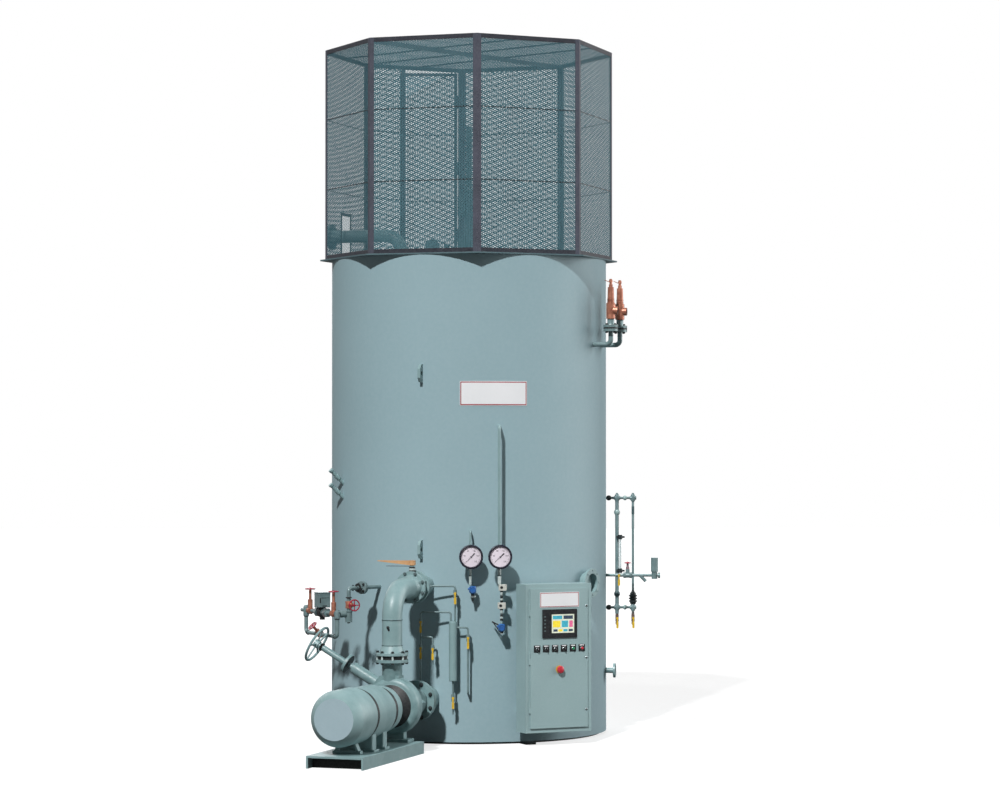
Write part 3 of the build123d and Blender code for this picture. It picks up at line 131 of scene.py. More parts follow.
class Tree:
    """Small helper around the node tree of a material or of the world."""

    def __init__(self, name, world=False):
        self.owner = (bpy.data.worlds if world else bpy.data.materials).new(name)
        self.owner.use_nodes = True
        self.tree = self.owner.node_tree
        self.tree.nodes.clear()
        self.output = self.node("ShaderNodeOutput" + ("World" if world else "Material"))
        if not world:
            self.coords = self.node("ShaderNodeTexCoord").outputs["Object"]

    def node(self, kind, **values):
        made = self.tree.nodes.new(kind)
        for key, value in values.items():
            if key in made.inputs:
                made.inputs[key].default_value = value
            else:
                setattr(made, key, value)
        return made

    def link(self, a, b):
        self.tree.links.new(a, b)

    def noise(self, scale, detail=3.0, stretch=None):
        made = self.node("ShaderNodeTexNoise", Scale=scale, Detail=detail, Roughness=0.55)
        source = self.coords
        if stretch:
            place = self.node("ShaderNodeMapping", Scale=stretch)
            self.link(self.coords, place.inputs["Vector"])
            source = place.outputs["Vector"]
        self.link(source, made.inputs["Vector"])
        return made.outputs["Fac"]

    def ramp(self, source, low, high, a, b):
        made = self.node("ShaderNodeMapRange",
                         **{"From Min": low, "From Max": high, "To Min": a, "To Max": b})
        self.link(source, made.inputs["Value"])
        return made.outputs["Result"]

    def patches(self, scale, detail=3.0, low=0.3, high=0.7):
        """Noise spread over 0 to 1."""
        return self.ramp(self.noise(scale, detail), low, high, 0.0, 1.0)

    def blend(self, factor, a, b):
        made = self.node("ShaderNodeMix", data_type="RGBA")
        self.link(factor, made.inputs["Factor"])
        for value, socket in ((a, made.inputs["A"]), (b, made.inputs["B"])):
            if isinstance(value, tuple):
                socket.default_value = value
            else:
                self.link(value, socket)
        return made.outputs["Result"]

    def most(self, a, b):
        made = self.node("ShaderNodeMath", operation="MAXIMUM")
        self.link(a, made.inputs[0])
        self.link(b, made.inputs[1])
        return made.outputs[0]

    def seen(self, path):
        """1 for a ray of the camera, also through glass."""
        return self.most(path.outputs["Is Camera Ray"], path.outputs["Is Transmission Ray"])

    def finish(self, shader):
        self.link(shader.outputs[0], self.output.inputs["Surface"])
        return self.owner


def surface(t, colour, roughness, bump, depth, metal=0.0, coat=0.0, bevel=0.0, specular=0.5):
    shader = t.node("ShaderNodeBsdfPrincipled", Metallic=metal,
                    **{"Coat Weight": coat, "Specular IOR Level": specular})
    if coat:
        shader.inputs["Coat Roughness"].default_value = 0.12
    t.link(colour, shader.inputs["Base Color"])
    t.link(roughness, shader.inputs["Roughness"])
    lump = t.node("ShaderNodeBump", Strength=depth, Distance=0.002)
    t.link(bump, lump.inputs["Height"])
    if bevel:
        soft = t.node("ShaderNodeBevel", samples=4, Radius=bevel)
        t.link(soft.outputs["Normal"], lump.inputs["Normal"])
    t.link(lump.outputs["Normal"], shader.inputs["Normal"])
    t.owner.diffuse_color = (0.5, 0.5, 0.5, 1.0)
    return t.finish(shader)


def paint(name, colour, dark, rough, mottle, grain=160.0, depth=0.12, metal=0.0, coat=0.0,
          bevel=0.0, specular=0.5):
    """Paint or enamel: two close shades in slow noise, finer specks, orange peel."""
    t = Tree(name)
    base = shade(colour)
    toned = t.blend(t.patches(mottle, 4.0), base, shade(dark))
    fine = t.ramp(t.noise(grain * 0.35, 2.0), 0.35, 0.75, 0.0, 0.22)
    toned = t.blend(fine, toned, mixed(base, (1.0, 1.0, 1.0, 1.0), 0.10))
    roughness = t.ramp(t.noise(mottle * 3.0), 0.3, 0.7, rough - 0.05, rough + 0.08)
    return surface(t, toned, roughness, t.noise(grain, 2.0), depth, metal, coat, bevel, specular)


def brushed(name, colour, rough, metal=0.9):
    """Metal with a drawn grain."""
    t = Tree(name)
    base = shade(colour)
    grain = t.noise(14.0, 4.0, (1.0, 1.0, 40.0))
    toned = t.blend(t.ramp(grain, 0.3, 0.7, 0.0, 1.0), base,
                    mixed(base, (0.0, 0.0, 0.0, 1.0), 0.22))
    roughness = t.ramp(t.noise(30.0), 0.3, 0.7, rough - 0.07, rough + 0.1)
    return surface(t, toned, roughness, grain, 0.1, metal)


def cast(name, colour, dark, rough, metal=0.0):
    """Cast piece: pitted surface, darker in its patches."""
    t = Tree(name)
    toned = t.blend(t.patches(18.0, 5.0, 0.35, 0.68), shade(colour), shade(dark))
    roughness = t.ramp(t.noise(40.0), 0.3, 0.7, rough - 0.1, rough + 0.1)
    return surface(t, toned, roughness, t.noise(220.0), 0.28, metal, 0.0, 0.0015)


def glass(name, colour, other):
    t = Tree(name)
    clear = t.node("ShaderNodeBsdfPrincipled", IOR=1.45, Roughness=0.05,
                   **{"Transmission Weight": 0.75})
    t.link(t.blend(t.patches(12.0), shade(colour), shade(other)), clear.inputs["Base Color"])
    return t.finish(clear)


def display(name, colour, other):
    """Lit field of the operator panel."""
    t = Tree(name)
    toned = t.blend(t.patches(60.0, 3.0, 0.4, 0.6), shade(colour), shade(other))
    shader = t.node("ShaderNodeBsdfPrincipled", Roughness=0.25, **{"Emission Strength": 0.35})
    t.link(toned, shader.inputs["Base Color"])
    t.link(toned, shader.inputs["Emission Color"])
    return t.finish(shader)


# Each row: key, name, colour, shade of the patches, roughness, size of the patches, the rest
M = {key: paint(*row, **rest) for key, *row, rest in (
    ("shell", "shell_paint", (150, 177, 184), (144, 171, 178), 0.50, 0.7,
     dict(grain=90.0, depth=0.04, specular=0.3)),
    ("green", "green_paint", (138, 166, 168), (122, 151, 153), 0.40, 7.0,
     dict(bevel=0.003, depth=0.10)),
    ("steel_green", "steel_green", (128, 150, 152), (100, 124, 126), 0.36, 14.0,
     dict(bevel=0.0015, metal=0.15)),
    ("deck", "deck_paint", (86, 112, 118), (70, 96, 103), 0.5, 3.0, dict(bevel=0.002)),
    ("dark", "dark_frame", (44, 48, 58), (34, 36, 46), 0.40, 9.0, dict(bevel=0.0015)),
    ("wire", "mesh_wire", (78, 120, 131), (68, 110, 122), 0.6, 5.0, dict(specular=0.3)),
    ("seam", "mesh_seam", (40, 58, 64), (34, 50, 56), 0.5, 5.0, {}),
    ("post", "post_grey", (74, 76, 90), (60, 64, 76), 0.45, 6.0, {}),
    # Black of gaskets, bolts, unions and bands; the same black is also painted shade in gaps,
    # hollows and under discs
    ("black_and_shade", "black_parts_and_painted_shade", (20, 26, 28), (14, 19, 21), 0.55, 20.0, {}),
    ("line", "joint_line", (58, 84, 88), (48, 72, 76), 0.5, 20.0, {}),
    ("pale", "pale_fitting", (196, 208, 206), (172, 188, 186), 0.32, 30.0, {}),
    ("pale_green", "pale_green", (158, 182, 180), (140, 166, 164), 0.36, 20.0, {}),
    ("disc", "cowl_disc", (158, 180, 188), (150, 172, 180), 0.5, 3.0, {}),
    ("red", "red_enamel", (176, 32, 62), (142, 22, 48), 0.35, 30.0, dict(coat=0.3)),
    ("yellow", "yellow_sleeve", (226, 186, 40), (196, 158, 30), 0.5, 40.0, {}),
    ("tan", "tan_paint", (214, 168, 122), (188, 140, 96), 0.45, 20.0, {}),
    ("blue", "blue_enamel", (38, 104, 176), (28, 82, 150), 0.35, 25.0, dict(coat=0.3)),
    ("beige", "beige_enamel", (206, 208, 200), (188, 190, 182), 0.45, 20.0, {}),
    ("gauge", "gauge_black", (18, 18, 44), (12, 12, 32), 0.25, 20.0, dict(coat=0.5)),
    ("dial", "dial_white", (238, 228, 238), (230, 220, 230), 0.5, 10.0, dict(depth=0.02)),
    # Ink of the dial print; the same black is also painted shade inside the relief valves' mouths
    ("ink_and_shade", "ink_and_shade", (28, 30, 34), (20, 22, 26), 0.6, 10.0, dict(depth=0.02)),
    ("plate", "plate_white", (240, 241, 243), (232, 234, 236), 0.4, 3.0, dict(depth=0.02)),
    ("plate_red", "plate_red", (168, 34, 48), (150, 26, 40), 0.4, 6.0, dict(depth=0.02)),
    ("plastic", "black_plastic", (24, 26, 30), (18, 20, 24), 0.34, 10.0, dict(depth=0.05)),
    ("stop", "stop_red", (206, 44, 62), (180, 30, 48), 0.3, 12.0, dict(coat=0.5, depth=0.02)),
    ("lens_green", "lens_green", (44, 150, 104), (30, 120, 82), 0.25, 20.0,
     dict(coat=0.5, depth=0.02)),
    ("cabinet", "cabinet_paint", (150, 176, 178), (143, 169, 171), 0.40, 2.5,
     dict(grain=200.0, depth=0.05, bevel=0.002)),
    ("interior", "inside_white", (222, 226, 224), (210, 214, 212), 0.5, 2.2, {}),
)}
M["green_cast"] = cast("green_cast", (128, 156, 158), (108, 137, 139), 0.42)
M["iron"] = cast("black_iron", (40, 48, 50), (28, 34, 36), 0.5)
M["bronze"] = cast("bronze", (196, 132, 108), (150, 92, 74), 0.40, 0.45)
M["stem_rose"] = cast("stem_rose", (176, 150, 156), (140, 116, 122), 0.4, 0.2)
M["drain"] = cast("brown_pipe", (126, 104, 96), (96, 78, 72), 0.5, 0.1)
M["steel"] = brushed("brushed_steel", (176, 186, 188), 0.32)
M["bolt"] = brushed("bolt_steel", (108, 126, 128), 0.4, 0.4)
M["glass"] = glass("tube_glass", (226, 234, 234), (206, 218, 220))
for key, colour, other in (
        ("screen_base", (214, 220, 200), (200, 208, 190)),
        ("screen_yellow", (236, 214, 70), (224, 200, 60)),
        ("screen_cyan", (70, 170, 190), (60, 150, 172)),
        ("screen_pink", (220, 110, 150), (206, 96, 138)),
        ("screen_dark", (60, 74, 90), (52, 64, 80))):
    M[key] = display(key, colour, other)

# Mesh helpers: every piece is built in one bmesh, in the shared frame

CREASE = radians(34.0)


class Piece:
    def __init__(self, name):
        self.name = name
        self.bm = bmesh.new()
        self.used = []

    def index(self, material):
        if material not in self.used:
            self.used.append(material)
        return self.used.index(material)

    def add(self, rows, faces, frame_at, material, smooth=False):
        made = [self.bm.verts.new(frame_at @ Vector(v)) for v in rows]
        number = self.index(material)
        for place, face in enumerate(faces):
            corners = [made[i] for i in face]
            if len(set(corners)) < 3:
                continue
            try:
                f = self.bm.faces.new(corners)
            except ValueError:
                continue
            f.material_index = number
            f.smooth = smooth[place] if isinstance(smooth, list) else smooth

    def lathe(self, at, profile, material, count=32, smooth=True):
        """Turned form: profile points are (radius, z) about the frame's z."""
        rows, faces = [], []
        for k in range(count):
            a = 2 * pi * k / count
            for r, z in profile:
                rows.append((r * cos(a), r * sin(a), z))
        n, level = len(profile), []
        for k in range(count):
            j = (k + 1) % count
            for i in range(n - 1):
                a, b, c, d = k * n + i, j * n + i, j * n + i + 1, k * n + i + 1
                level.append(profile[i][1] == profile[i + 1][1])
                if profile[i][0] < 1e-7:
                    faces.append((i, c, d))
                elif profile[i + 1][0] < 1e-7:
                    faces.append((a, b, i + 1))
                else:
                    faces.append((a, b, c, d))
        self.add(rows, faces, at, material, [smooth and not flat for flat in level])

    def block(self, at, size, material, edge=0.0):
        """Block standing on the frame's plane, with its top edges and corners cut by edge."""
        w, h, d = size[0] / 2, size[1] / 2, size[2]
        e = min(edge, w * 0.9, h * 0.9, d * 0.9)
        if e <= 0:
            self.prism(at, [(-w, -h), (w, -h), (w, h), (-w, h)], 0.0, d, material)
            return
        rings = []
        for inset, z in ((0, 0), (0, d - e), (e * 0.3, d - e * 0.3), (e, d)):
            ww, hh, c = w - inset, h - inset, max(e - inset * 0.5, e * 0.5)
            rings.append([(-ww + c, -hh, z), (ww - c, -hh, z), (ww, -hh + c, z),
                          (ww, hh - c, z), (ww - c, hh, z), (-ww + c, hh, z),
                          (-ww, hh - c, z), (-ww, -hh + c, z)])
        rows = [p for level in rings for p in level]
        faces = [tuple(reversed(range(8))), tuple(range(24, 32))]
        for k in range(3):
            for i in range(8):
                j = (i + 1) % 8
                faces.append((k * 8 + i, k * 8 + j, k * 8 + 8 + j, k * 8 + 8 + i))
        self.add(rows, faces, at, material)

    def rod(self, start, end, radius, material, sides=12, radius_end=None):
        start, end = Vector(start), Vector(end)
        at = along(start, end - start)
        length = (end - start).length
        r2 = radius if radius_end is None else radius_end
        self.lathe(at, [(0.0, 0.0), (radius, 0.0), (r2, length), (0.0, length)], material, sides)

    def bolt(self, at, radius, height, material, washer=True):
        """Hexagon head on its washer."""
        if washer:
            self.lathe(at, [(0.0, 0.0), (radius * 1.25, 0.0), (radius * 1.25, height * 0.18),
                            (0.0, height * 0.18)], material, 12, False)
        self.lathe(at, [(radius, height * 0.18), (radius, height * 0.85),
                        (radius * 0.85, height), (0.0, height)], material, 6, False)

    def tube(self, points, radius, material, bend=0.0, sides=28):
        """Pipe along straight runs with rounded bends."""
        points = [Vector(p) for p in points]
        path = [points[0]]
        for a, b, c in zip(points, points[1:], points[2:]):
            into, out = (a - b).normalized(), (c - b).normalized()
            half = into.angle(out) / 2
            centre = b + (into + out).normalized() * (bend / sin(half))
            first = b + into * (bend / tan(half)) - centre
            last = b + out * (bend / tan(half)) - centre
            path += [centre + first.slerp(last, k / 12).normalized() * bend
                     for k in range(13)]
        path.append(points[-1])
        way = (path[1] - path[0]).normalized()
        side = way.orthogonal().normalized()
        rows, faces = [], []
        for k, p in enumerate(path):
            near, far = path[max(k - 1, 0)], path[min(k + 1, len(path) - 1)]
            way = (far - near).normalized()
            side = (side - way * side.dot(way)).normalized()
            other = way.cross(side)
            rows += [tuple(p + (side * cos(2 * pi * j / sides) + other * sin(2 * pi * j / sides))
                           * radius) for j in range(sides)]
        for k in range(len(path) - 1):
            for j in range(sides):
                n = (j + 1) % sides
                faces.append((k * sides + j, k * sides + n, (k + 1) * sides + n,
                              (k + 1) * sides + j))
        self.add(rows, faces, Matrix.Identity(4), material, True)
        for end, way in ((0, -1), (len(path) - 1, 1)):
            self.add(rows[end * sides:(end + 1) * sides],
                     [tuple(range(sides))[::way]], Matrix.Identity(4), material)

    def prism(self, at, outline, low, high, material):
        """Flat outline in the frame's x and y, raised along its z."""
        n = len(outline)
        rows = [(x, y, z) for z in (low, high) for x, y in outline]
        faces = [tuple(reversed(range(n))), tuple(range(n, 2 * n))]
        faces += [(k, (k + 1) % n, n + (k + 1) % n, n + k) for k in range(n)]
        self.add(rows, faces, at, material)

    def done(self, *replaces, body="boiler", slot="green_paint"):
        """Make the object, on its body, in place of the CAD's nodes; slot is not used."""
        bmesh.ops.recalc_face_normals(self.bm, faces=self.bm.faces[:])
        for edge in self.bm.edges:
            edge.smooth = edge.calc_face_angle(0.0) < CREASE
        mesh = bpy.data.meshes.new(self.name)
        self.bm.to_mesh(mesh)
        self.bm.free()
        made = bpy.data.objects.new(self.name, mesh)
        bpy.context.scene.collection.objects.link(made)
        for material in self.used:
            mesh.materials.append(M[material])
        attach(made, body)
        for node in replaces:
            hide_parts(node)


# Cage: flattened expanded metal on every side, on the door and on the roof
LONG_WAY = 0.0305
SHORT_WAY = 0.0127
STRAND = 0.0048
STRAND_THICK = 0.0009
REAR = 1.5
SEAMS = (DECK + 0.621, DECK + 1.242)
PANEL_LOW = DECK + LEG
PANEL_HIGH = CAGE_TOP - LEG
PANEL_MID = (PANEL_LOW + PANEL_HIGH) / 2
PANEL_H = PANEL_HIGH - PANEL_LOW
CLEAR = CHORD - 2 * LEG
MESH_PLANE = APOTHEM - 0.003


def within(point, step, sides):
    """Stretch of a line, from a point by a step, that lies inside some half planes."""
    low, high = -1e9, 1e9
    for nx, ny, reach in sides:
        slope = step[0] * nx + step[1] * ny
        room = reach - point[0] * nx - point[1] * ny
        if abs(slope) < 1e-12:
            if room < 0:
                return None
        elif slope > 0:
            high = min(high, room / slope)
        else:
            low = max(low, room / slope)
    return (low, high) if high - low > 1e-4 else None


def box_sides(x0, y0, x1, y1):
    return [(1, 0, x1), (-1, 0, -x0), (0, 1, y1), (0, -1, -y0)]


def strands(piece, at, sides, reach, holes=(), coarse=1.0):
    """Two families of slanting strands, cut to the outline and around the holes."""
    slope = SHORT_WAY / LONG_WAY
    pitch = SHORT_WAY * coarse
    count = int(reach * (1 + slope) / pitch) + 2
    size = (1 + slope * slope) ** 0.5
    for lean_way in (-1, 1):
        step = (1.0 / size, lean_way * slope / size)
        for k in range(-count, count + 1):
            point = (0.0, (k + 0.5) * pitch)
            whole = within(point, step, sides)
            if not whole:
                continue
            spans = [whole]
            for hole in holes:
                gap = within(point, step, hole)
                if gap:
                    spans = [s for p, q in spans
                             for s in ((p, min(q, gap[0])), (max(p, gap[1]), q))
                             if s[1] - s[0] > 1e-4]
            for low, high in spans:
                middle = (low + high) / 2
                ribbon = at @ Matrix.Translation((point[0] + step[0] * middle,
                                                  point[1] + step[1] * middle,
                                                  lean_way * STRAND_THICK * 0.45))
                ribbon = ribbon @ Matrix.Rotation(lean_way * atan(slope), 4, "Z")
                half = (high - low) / 2
                w, t = STRAND * coarse / 2, STRAND_THICK / 2
                rows = [(x, y, z) for x in (-half, half)
                        for y, z in ((-w, 0), (0, -t), (w, 0), (0, t))]
                piece.add(rows, [(j, (j + 1) % 4, 4 + (j + 1) % 4, 4 + j) for j in range(4)],
                          ribbon, "wire")


def screen(piece, at, width, height, holes=(), seams=(), coarse=1.0):
    """Expanded metal centred on a frame; holes are (x0, y0, x1, y1)."""
    strands(piece, at, box_sides(-width / 2, -height / 2, width / 2, height / 2),
            max(width, height) / 2, [box_sides(*hole) for hole in holes], coarse)
    for y in seams:
        piece.block(shift(at, 0.0, y, -0.002), (width, 0.008, 0.004), "seam")


side_mesh = Piece("cage_wire_mesh")
seam_ys = [z - PANEL_MID for z in SEAMS]
for side in (-67.5, -22.5, 22.5, 67.5, 112.5, 157.5):
    screen(side_mesh, facing(side, MESH_PLANE, PANEL_MID), CLEAR, PANEL_H, seams=seam_ys,
           coarse=REAR if abs(side) > 90 else 1.0)
GATE_W, GATE_H, BORDER = 0.200, 0.382, 0.028
gate = facing(-112.5, MESH_PLANE, PANEL_MID)
low_edge = -PANEL_H / 2
screen(side_mesh, gate, CLEAR, PANEL_H,
       holes=[(-GATE_W / 2 - BORDER, low_edge, GATE_W / 2 + BORDER, low_edge + GATE_H + BORDER)],
       seams=seam_ys, coarse=REAR)
for x in (-1, 1):
    side_mesh.block(shift(gate, x * (GATE_W + BORDER) / 2, low_edge + GATE_H / 2, -0.002),
                    (BORDER, GATE_H, 0.004), "dark")
side_mesh.block(shift(gate, 0.0, low_edge + GATE_H + BORDER / 2, -0.002),
                (GATE_W + 2 * BORDER, BORDER, 0.004), "dark")
DOOR_SIDE, HINGE_EDGE, LATCH_EDGE = -157.5, 0.450, 0.093
STRIP_LOW, STRIP_HIGH = LATCH_EDGE + LEG, CHORD / 2 - LEG
screen(side_mesh, facing(DOOR_SIDE, MESH_PLANE, PANEL_MID, (STRIP_LOW + STRIP_HIGH) / 2),
       STRIP_HIGH - STRIP_LOW, PANEL_H, seams=seam_ys, coarse=REAR)
side_mesh.done("mesh_panels", slot="wire")

# Cage door: angle frame, hinges and its own screen
AJAR = 24.0
GAP, HINGE_GAP, HINGE_OUT = 0.005, 0.004, 0.008
door_turn = DOOR_SIDE - AJAR
hinge = spot(DOOR_SIDE, APOTHEM + HINGE_OUT, 0.0, -HINGE_EDGE)
DOOR_LOW, DOOR_HIGH = PANEL_LOW + GAP, PANEL_HIGH - GAP
DOOR_W = LATCH_EDGE - GAP + HINGE_EDGE - HINGE_GAP
FRAME = 0.028
DOOR_MID = (DOOR_LOW + DOOR_HIGH) / 2
door_at = basis(hinge + rightward(door_turn) * (HINGE_GAP + DOOR_W / 2)
                - outward(door_turn) * (HINGE_OUT + 0.006) + UP * DOOR_MID,
                rightward(door_turn), outward(door_turn))
DOOR_H = DOOR_HIGH - DOOR_LOW
door = Piece("cage_door_leaf")
for x in (-1, 1):
    door.block(shift(door_at, x * (DOOR_W - FRAME) / 2, 0.0), (FRAME, DOOR_H, 0.006), "dark",
               0.001)
for y in (-1, 1):
    door.block(shift(door_at, 0.0, y * (DOOR_H - FRAME) / 2),
               (DOOR_W - 2 * FRAME, FRAME, 0.006), "dark", 0.001)
screen(door, shift(door_at, 0.0, 0.0, 0.003), DOOR_W - 2 * FRAME, DOOR_H - 2 * FRAME,
       seams=[z - DOOR_MID for z in SEAMS], coarse=REAR)
for z in (4.500, 5.120, 5.740):
    door.rod(hinge + UP * (z - 0.060), hinge + UP * z, 0.008, "steel", 16)
    door.block(basis(hinge + UP * (z - 0.030) + rightward(door_turn) * 0.013
                     - outward(door_turn) * HINGE_OUT, rightward(door_turn), outward(door_turn)),
               (0.026, 0.056, 0.003), "dark")
door.done("cage_door", body="cage_door", slot="dark_frame")

# Roof screen on its bars, in a flat border
roof = Piece("roof_wire_mesh")
BEAM_TOP = CAGE_TOP - 0.008
ROOF_R = (APOTHEM - 0.006 - 0.0003) / cos(LEAN)
ROOF_SIDES = [(cos(radians(22.5 + 45 * k)), sin(radians(22.5 + 45 * k)), ROOF_R * cos(LEAN))
              for k in range(8)]
strands(roof, Matrix.Translation((0, 0, BEAM_TOP + 0.002)), ROOF_SIDES, ROOF_R)
for k in range(8):
    a, b = radians(45 * k), radians(45 * k + 45)
    border = [(r * cos(angle), r * sin(angle)) for angle, r in
              ((a, ROOF_R), (b, ROOF_R), (b, ROOF_R - 0.013), (a, ROOF_R - 0.013))]
    roof.prism(Matrix.Identity(4), border, BEAM_TOP, BEAM_TOP + 0.0040, "dark")
roof.done("roof_mesh", slot="wire")


# Dial gauges: bezel, face, scale, figures, pointer
RACK = 1.296
GAUGE_FRONT = 1.371
GAUGE_D = 0.048
GAUGE_R = 0.1035
GAUGE_TURN = 8.0
GAUGE_Z = 1.600
SWEEP_START, SWEEP = 225, 270


def figures(name, text, at):
    curve = bpy.data.curves.new(name, "FONT")
    curve.body = text
    curve.size = 0.017
    curve.align_x = "CENTER"
    curve.align_y = "CENTER"
    curve.extrude = 0.0002
    curve.resolution_u = 2
    made = bpy.data.objects.new(name, curve)
    made.matrix_world = at
    bpy.context.scene.collection.objects.link(made)
    curve.materials.append(M["ink_and_shade"])
    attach(made, "boiler")


def dial_gauge(number, across, pipe_radius, pointer):
    at = basis(spot(SERVICE, GAUGE_FRONT - GAUGE_D, GAUGE_Z, across), rightward(GAUGE_TURN),
               outward(GAUGE_TURN))
    g = Piece("dial_gauge_%d" % number)
    R, D = GAUGE_R, GAUGE_D
    g.lathe(at, [(0.0, 0.0), (R * 0.80, 0.0), (R * 0.84, 0.006), (R * 0.84, 0.024),
                 (R * 0.985, 0.026), (R, 0.029), (R, D * 0.86), (R * 0.985, D * 0.95),
                 (R * 0.93, D), (R * 0.86, D), (R * 0.83, D * 0.90), (R * 0.815, D * 0.80)],
            "gauge", 64)
    top = D * 0.76
    g.lathe(at, [(R * 0.82, top), (0.0, top)], "dial", 64)
    for k in range(51):
        long, wide = (0.011, 0.0016) if k % 5 == 0 else (0.006, 0.0008)
        spoke = shift(at, turn=SWEEP_START - SWEEP * k / 50)
        g.block(shift(spoke, R * 0.70 + (0.011 - long) / 2, 0.0, top), (long, wide, 0.0004), "ink_and_shade")
    rows = [(r * cos(a), r * sin(a), top + 0.0003)
            for a in (radians(SWEEP_START - SWEEP * k / 60) for k in range(61))
            for r in (R * 0.755, R * 0.765)]
    g.add(rows, [(2 * k, 2 * k + 1, 2 * k + 3, 2 * k + 2) for k in range(60)], at, "ink_and_shade")
    g.prism(shift(at, z=top + 0.002, turn=SWEEP_START - SWEEP * pointer),
            [(R * 0.70, 0), (0.0, 0.0017), (-R * 0.42, 0.0056), (-R * 0.42, -0.0056),
             (0.0, -0.0017)], 0.0, 0.0012, "ink_and_shade")
    g.lathe(shift(at, z=top), [(0.0065, 0.0), (0.0065, 0.0045), (0.005, 0.006), (0.0, 0.006)],
            "gauge", 20)
    for lug in ring(shift(at, z=D), R * 0.925, 3, 90.0):
        g.bolt(lug, 0.0030, 0.0015, "gauge", False)
    boss = ((GAUGE_FRONT - GAUGE_D - RACK) * cos(radians(GAUGE_TURN - SERVICE)) - pipe_radius
            - 0.0003)
    g.lathe(at, [(0.0, -boss), (0.018, -boss), (0.018, -0.004), (0.024, 0.0)], "iron", 24)
    g.done("gauges", slot="gauge_black")
    for k in range(0, 11, 2):
        a = radians(SWEEP_START - SWEEP * k / 10)
        figures("dial_figures_%d_%d" % (number, k), str(k * 20),
                shift(at, R * 0.54 * cos(a), R * 0.54 * sin(a), top + 0.0004))


dial_gauge(1, 0.010, 0.009, 0.0)
dial_gauge(2, 0.257, 0.0135, 0.01)


# Name plates, bare, in a red border
def bare_plate(name, at, width, height, border, body, bulge=0.0):
    """White plate, red sheet, white sheet; a bulge bends them to that radius."""
    p = Piece(name)
    columns = 12 if bulge else 1
    n = 2 * (columns + 1)
    for inset, low, high, material in (
            (0.0, 0.0, 0.0030, "plate"),
            (0.008, 0.0030, 0.0034, "plate_red"),
            (0.008 + 2 * border, 0.0034, 0.0038, "plate")):
        w, h = width - inset, height - inset
        rows = []
        for z in (low, high):
            for k in range(columns + 1):
                x, out = -w / 2 + w * k / columns, z
                if bulge:
                    x, out = ((bulge + z) * sin(x / bulge),
                              (bulge + z) * cos(x / bulge) - bulge)
                rows += [(x, -h / 2, out), (x, h / 2, out)]
        faces = [(0, n, n + 1, 1), (n - 2, n - 1, 2 * n - 1, 2 * n - 2)]
        for i in range(0, 2 * columns, 2):
            faces += [(i, i + 1, i + 3, i + 2), (n + i, n + i + 2, n + i + 3, n + i + 1),
                      (i, i + 2, n + i + 2, n + i), (i + 1, n + i + 1, n + i + 3, i + 3)]
        p.add(rows, faces, at, material)
    p.done(body=body)


CAB_FRONT = 1.490
CAB_ACROSS = 0.137


def on_door(z, across=CAB_ACROSS, lift=0.0):
    return facing(CABINET, CAB_FRONT + lift, z, across)


bare_plate("vessel_plate", facing(7.0, SHELL + 0.0006, 2.986), 0.585, 0.207, 0.008, "boiler",
           SHELL)
bare_plate("cabinet_plate", on_door(1.235, lift=0.0003), 0.372, 0.127, 0.005, "cabinet_door")

# Operator panel and controls on the cabinet door
panel = Piece("operator_panel")
BEZEL_W, BEZEL_H, BEZEL_D = 0.327, 0.243, 0.009
SCREEN_W, SCREEN_H, SCREEN_X = 0.215, 0.159, 0.030
at = on_door(1.033)
for side in (1, -1):
    panel.block(shift(at, 0.0, side * (BEZEL_H + SCREEN_H) / 4),
                (BEZEL_W, (BEZEL_H - SCREEN_H) / 2, BEZEL_D), "plastic")
for side in (-1, 1):
    panel.block(shift(at, (side * (BEZEL_W + SCREEN_W) / 2 + SCREEN_X) / 2),
                (BEZEL_W / 2 - side * SCREEN_X - SCREEN_W / 2, SCREEN_H, BEZEL_D), "plastic")
glow = shift(at, SCREEN_X)
panel.block(glow, (SCREEN_W, SCREEN_H, 0.0070), "screen_base")
for x, y, w, h, kind in (
        (-0.052, 0.052, 0.090, 0.030, "cyan"),
        (0.050, 0.052, 0.090, 0.030, "dark"),
        (-0.060, -0.004, 0.072, 0.056, "yellow"),
        (0.018, -0.004, 0.060, 0.056, "cyan"),
        (0.077, -0.004, 0.034, 0.056, "pink"),
        (-0.072, -0.058, 0.040, 0.020, "dark"),
        (-0.024, -0.058, 0.040, 0.020, "yellow"),
        (0.024, -0.058, 0.040, 0.020, "cyan"),
        (0.074, -0.058, 0.040, 0.020, "dark")):
    panel.block(shift(glow, x, y, 0.0070), (w, h, 0.0003), "screen_" + kind)
for k in range(5):
    panel.block(shift(at, -BEZEL_W / 2 + 0.022, 0.060 - 0.030 * k, BEZEL_D),
                (0.016, 0.011, 0.0015), "bolt", 0.001)
LEGEND_PITCH, LEGEND = 0.085, 0.060
SELECTOR_TURN = (-35, 0, 35, 0)
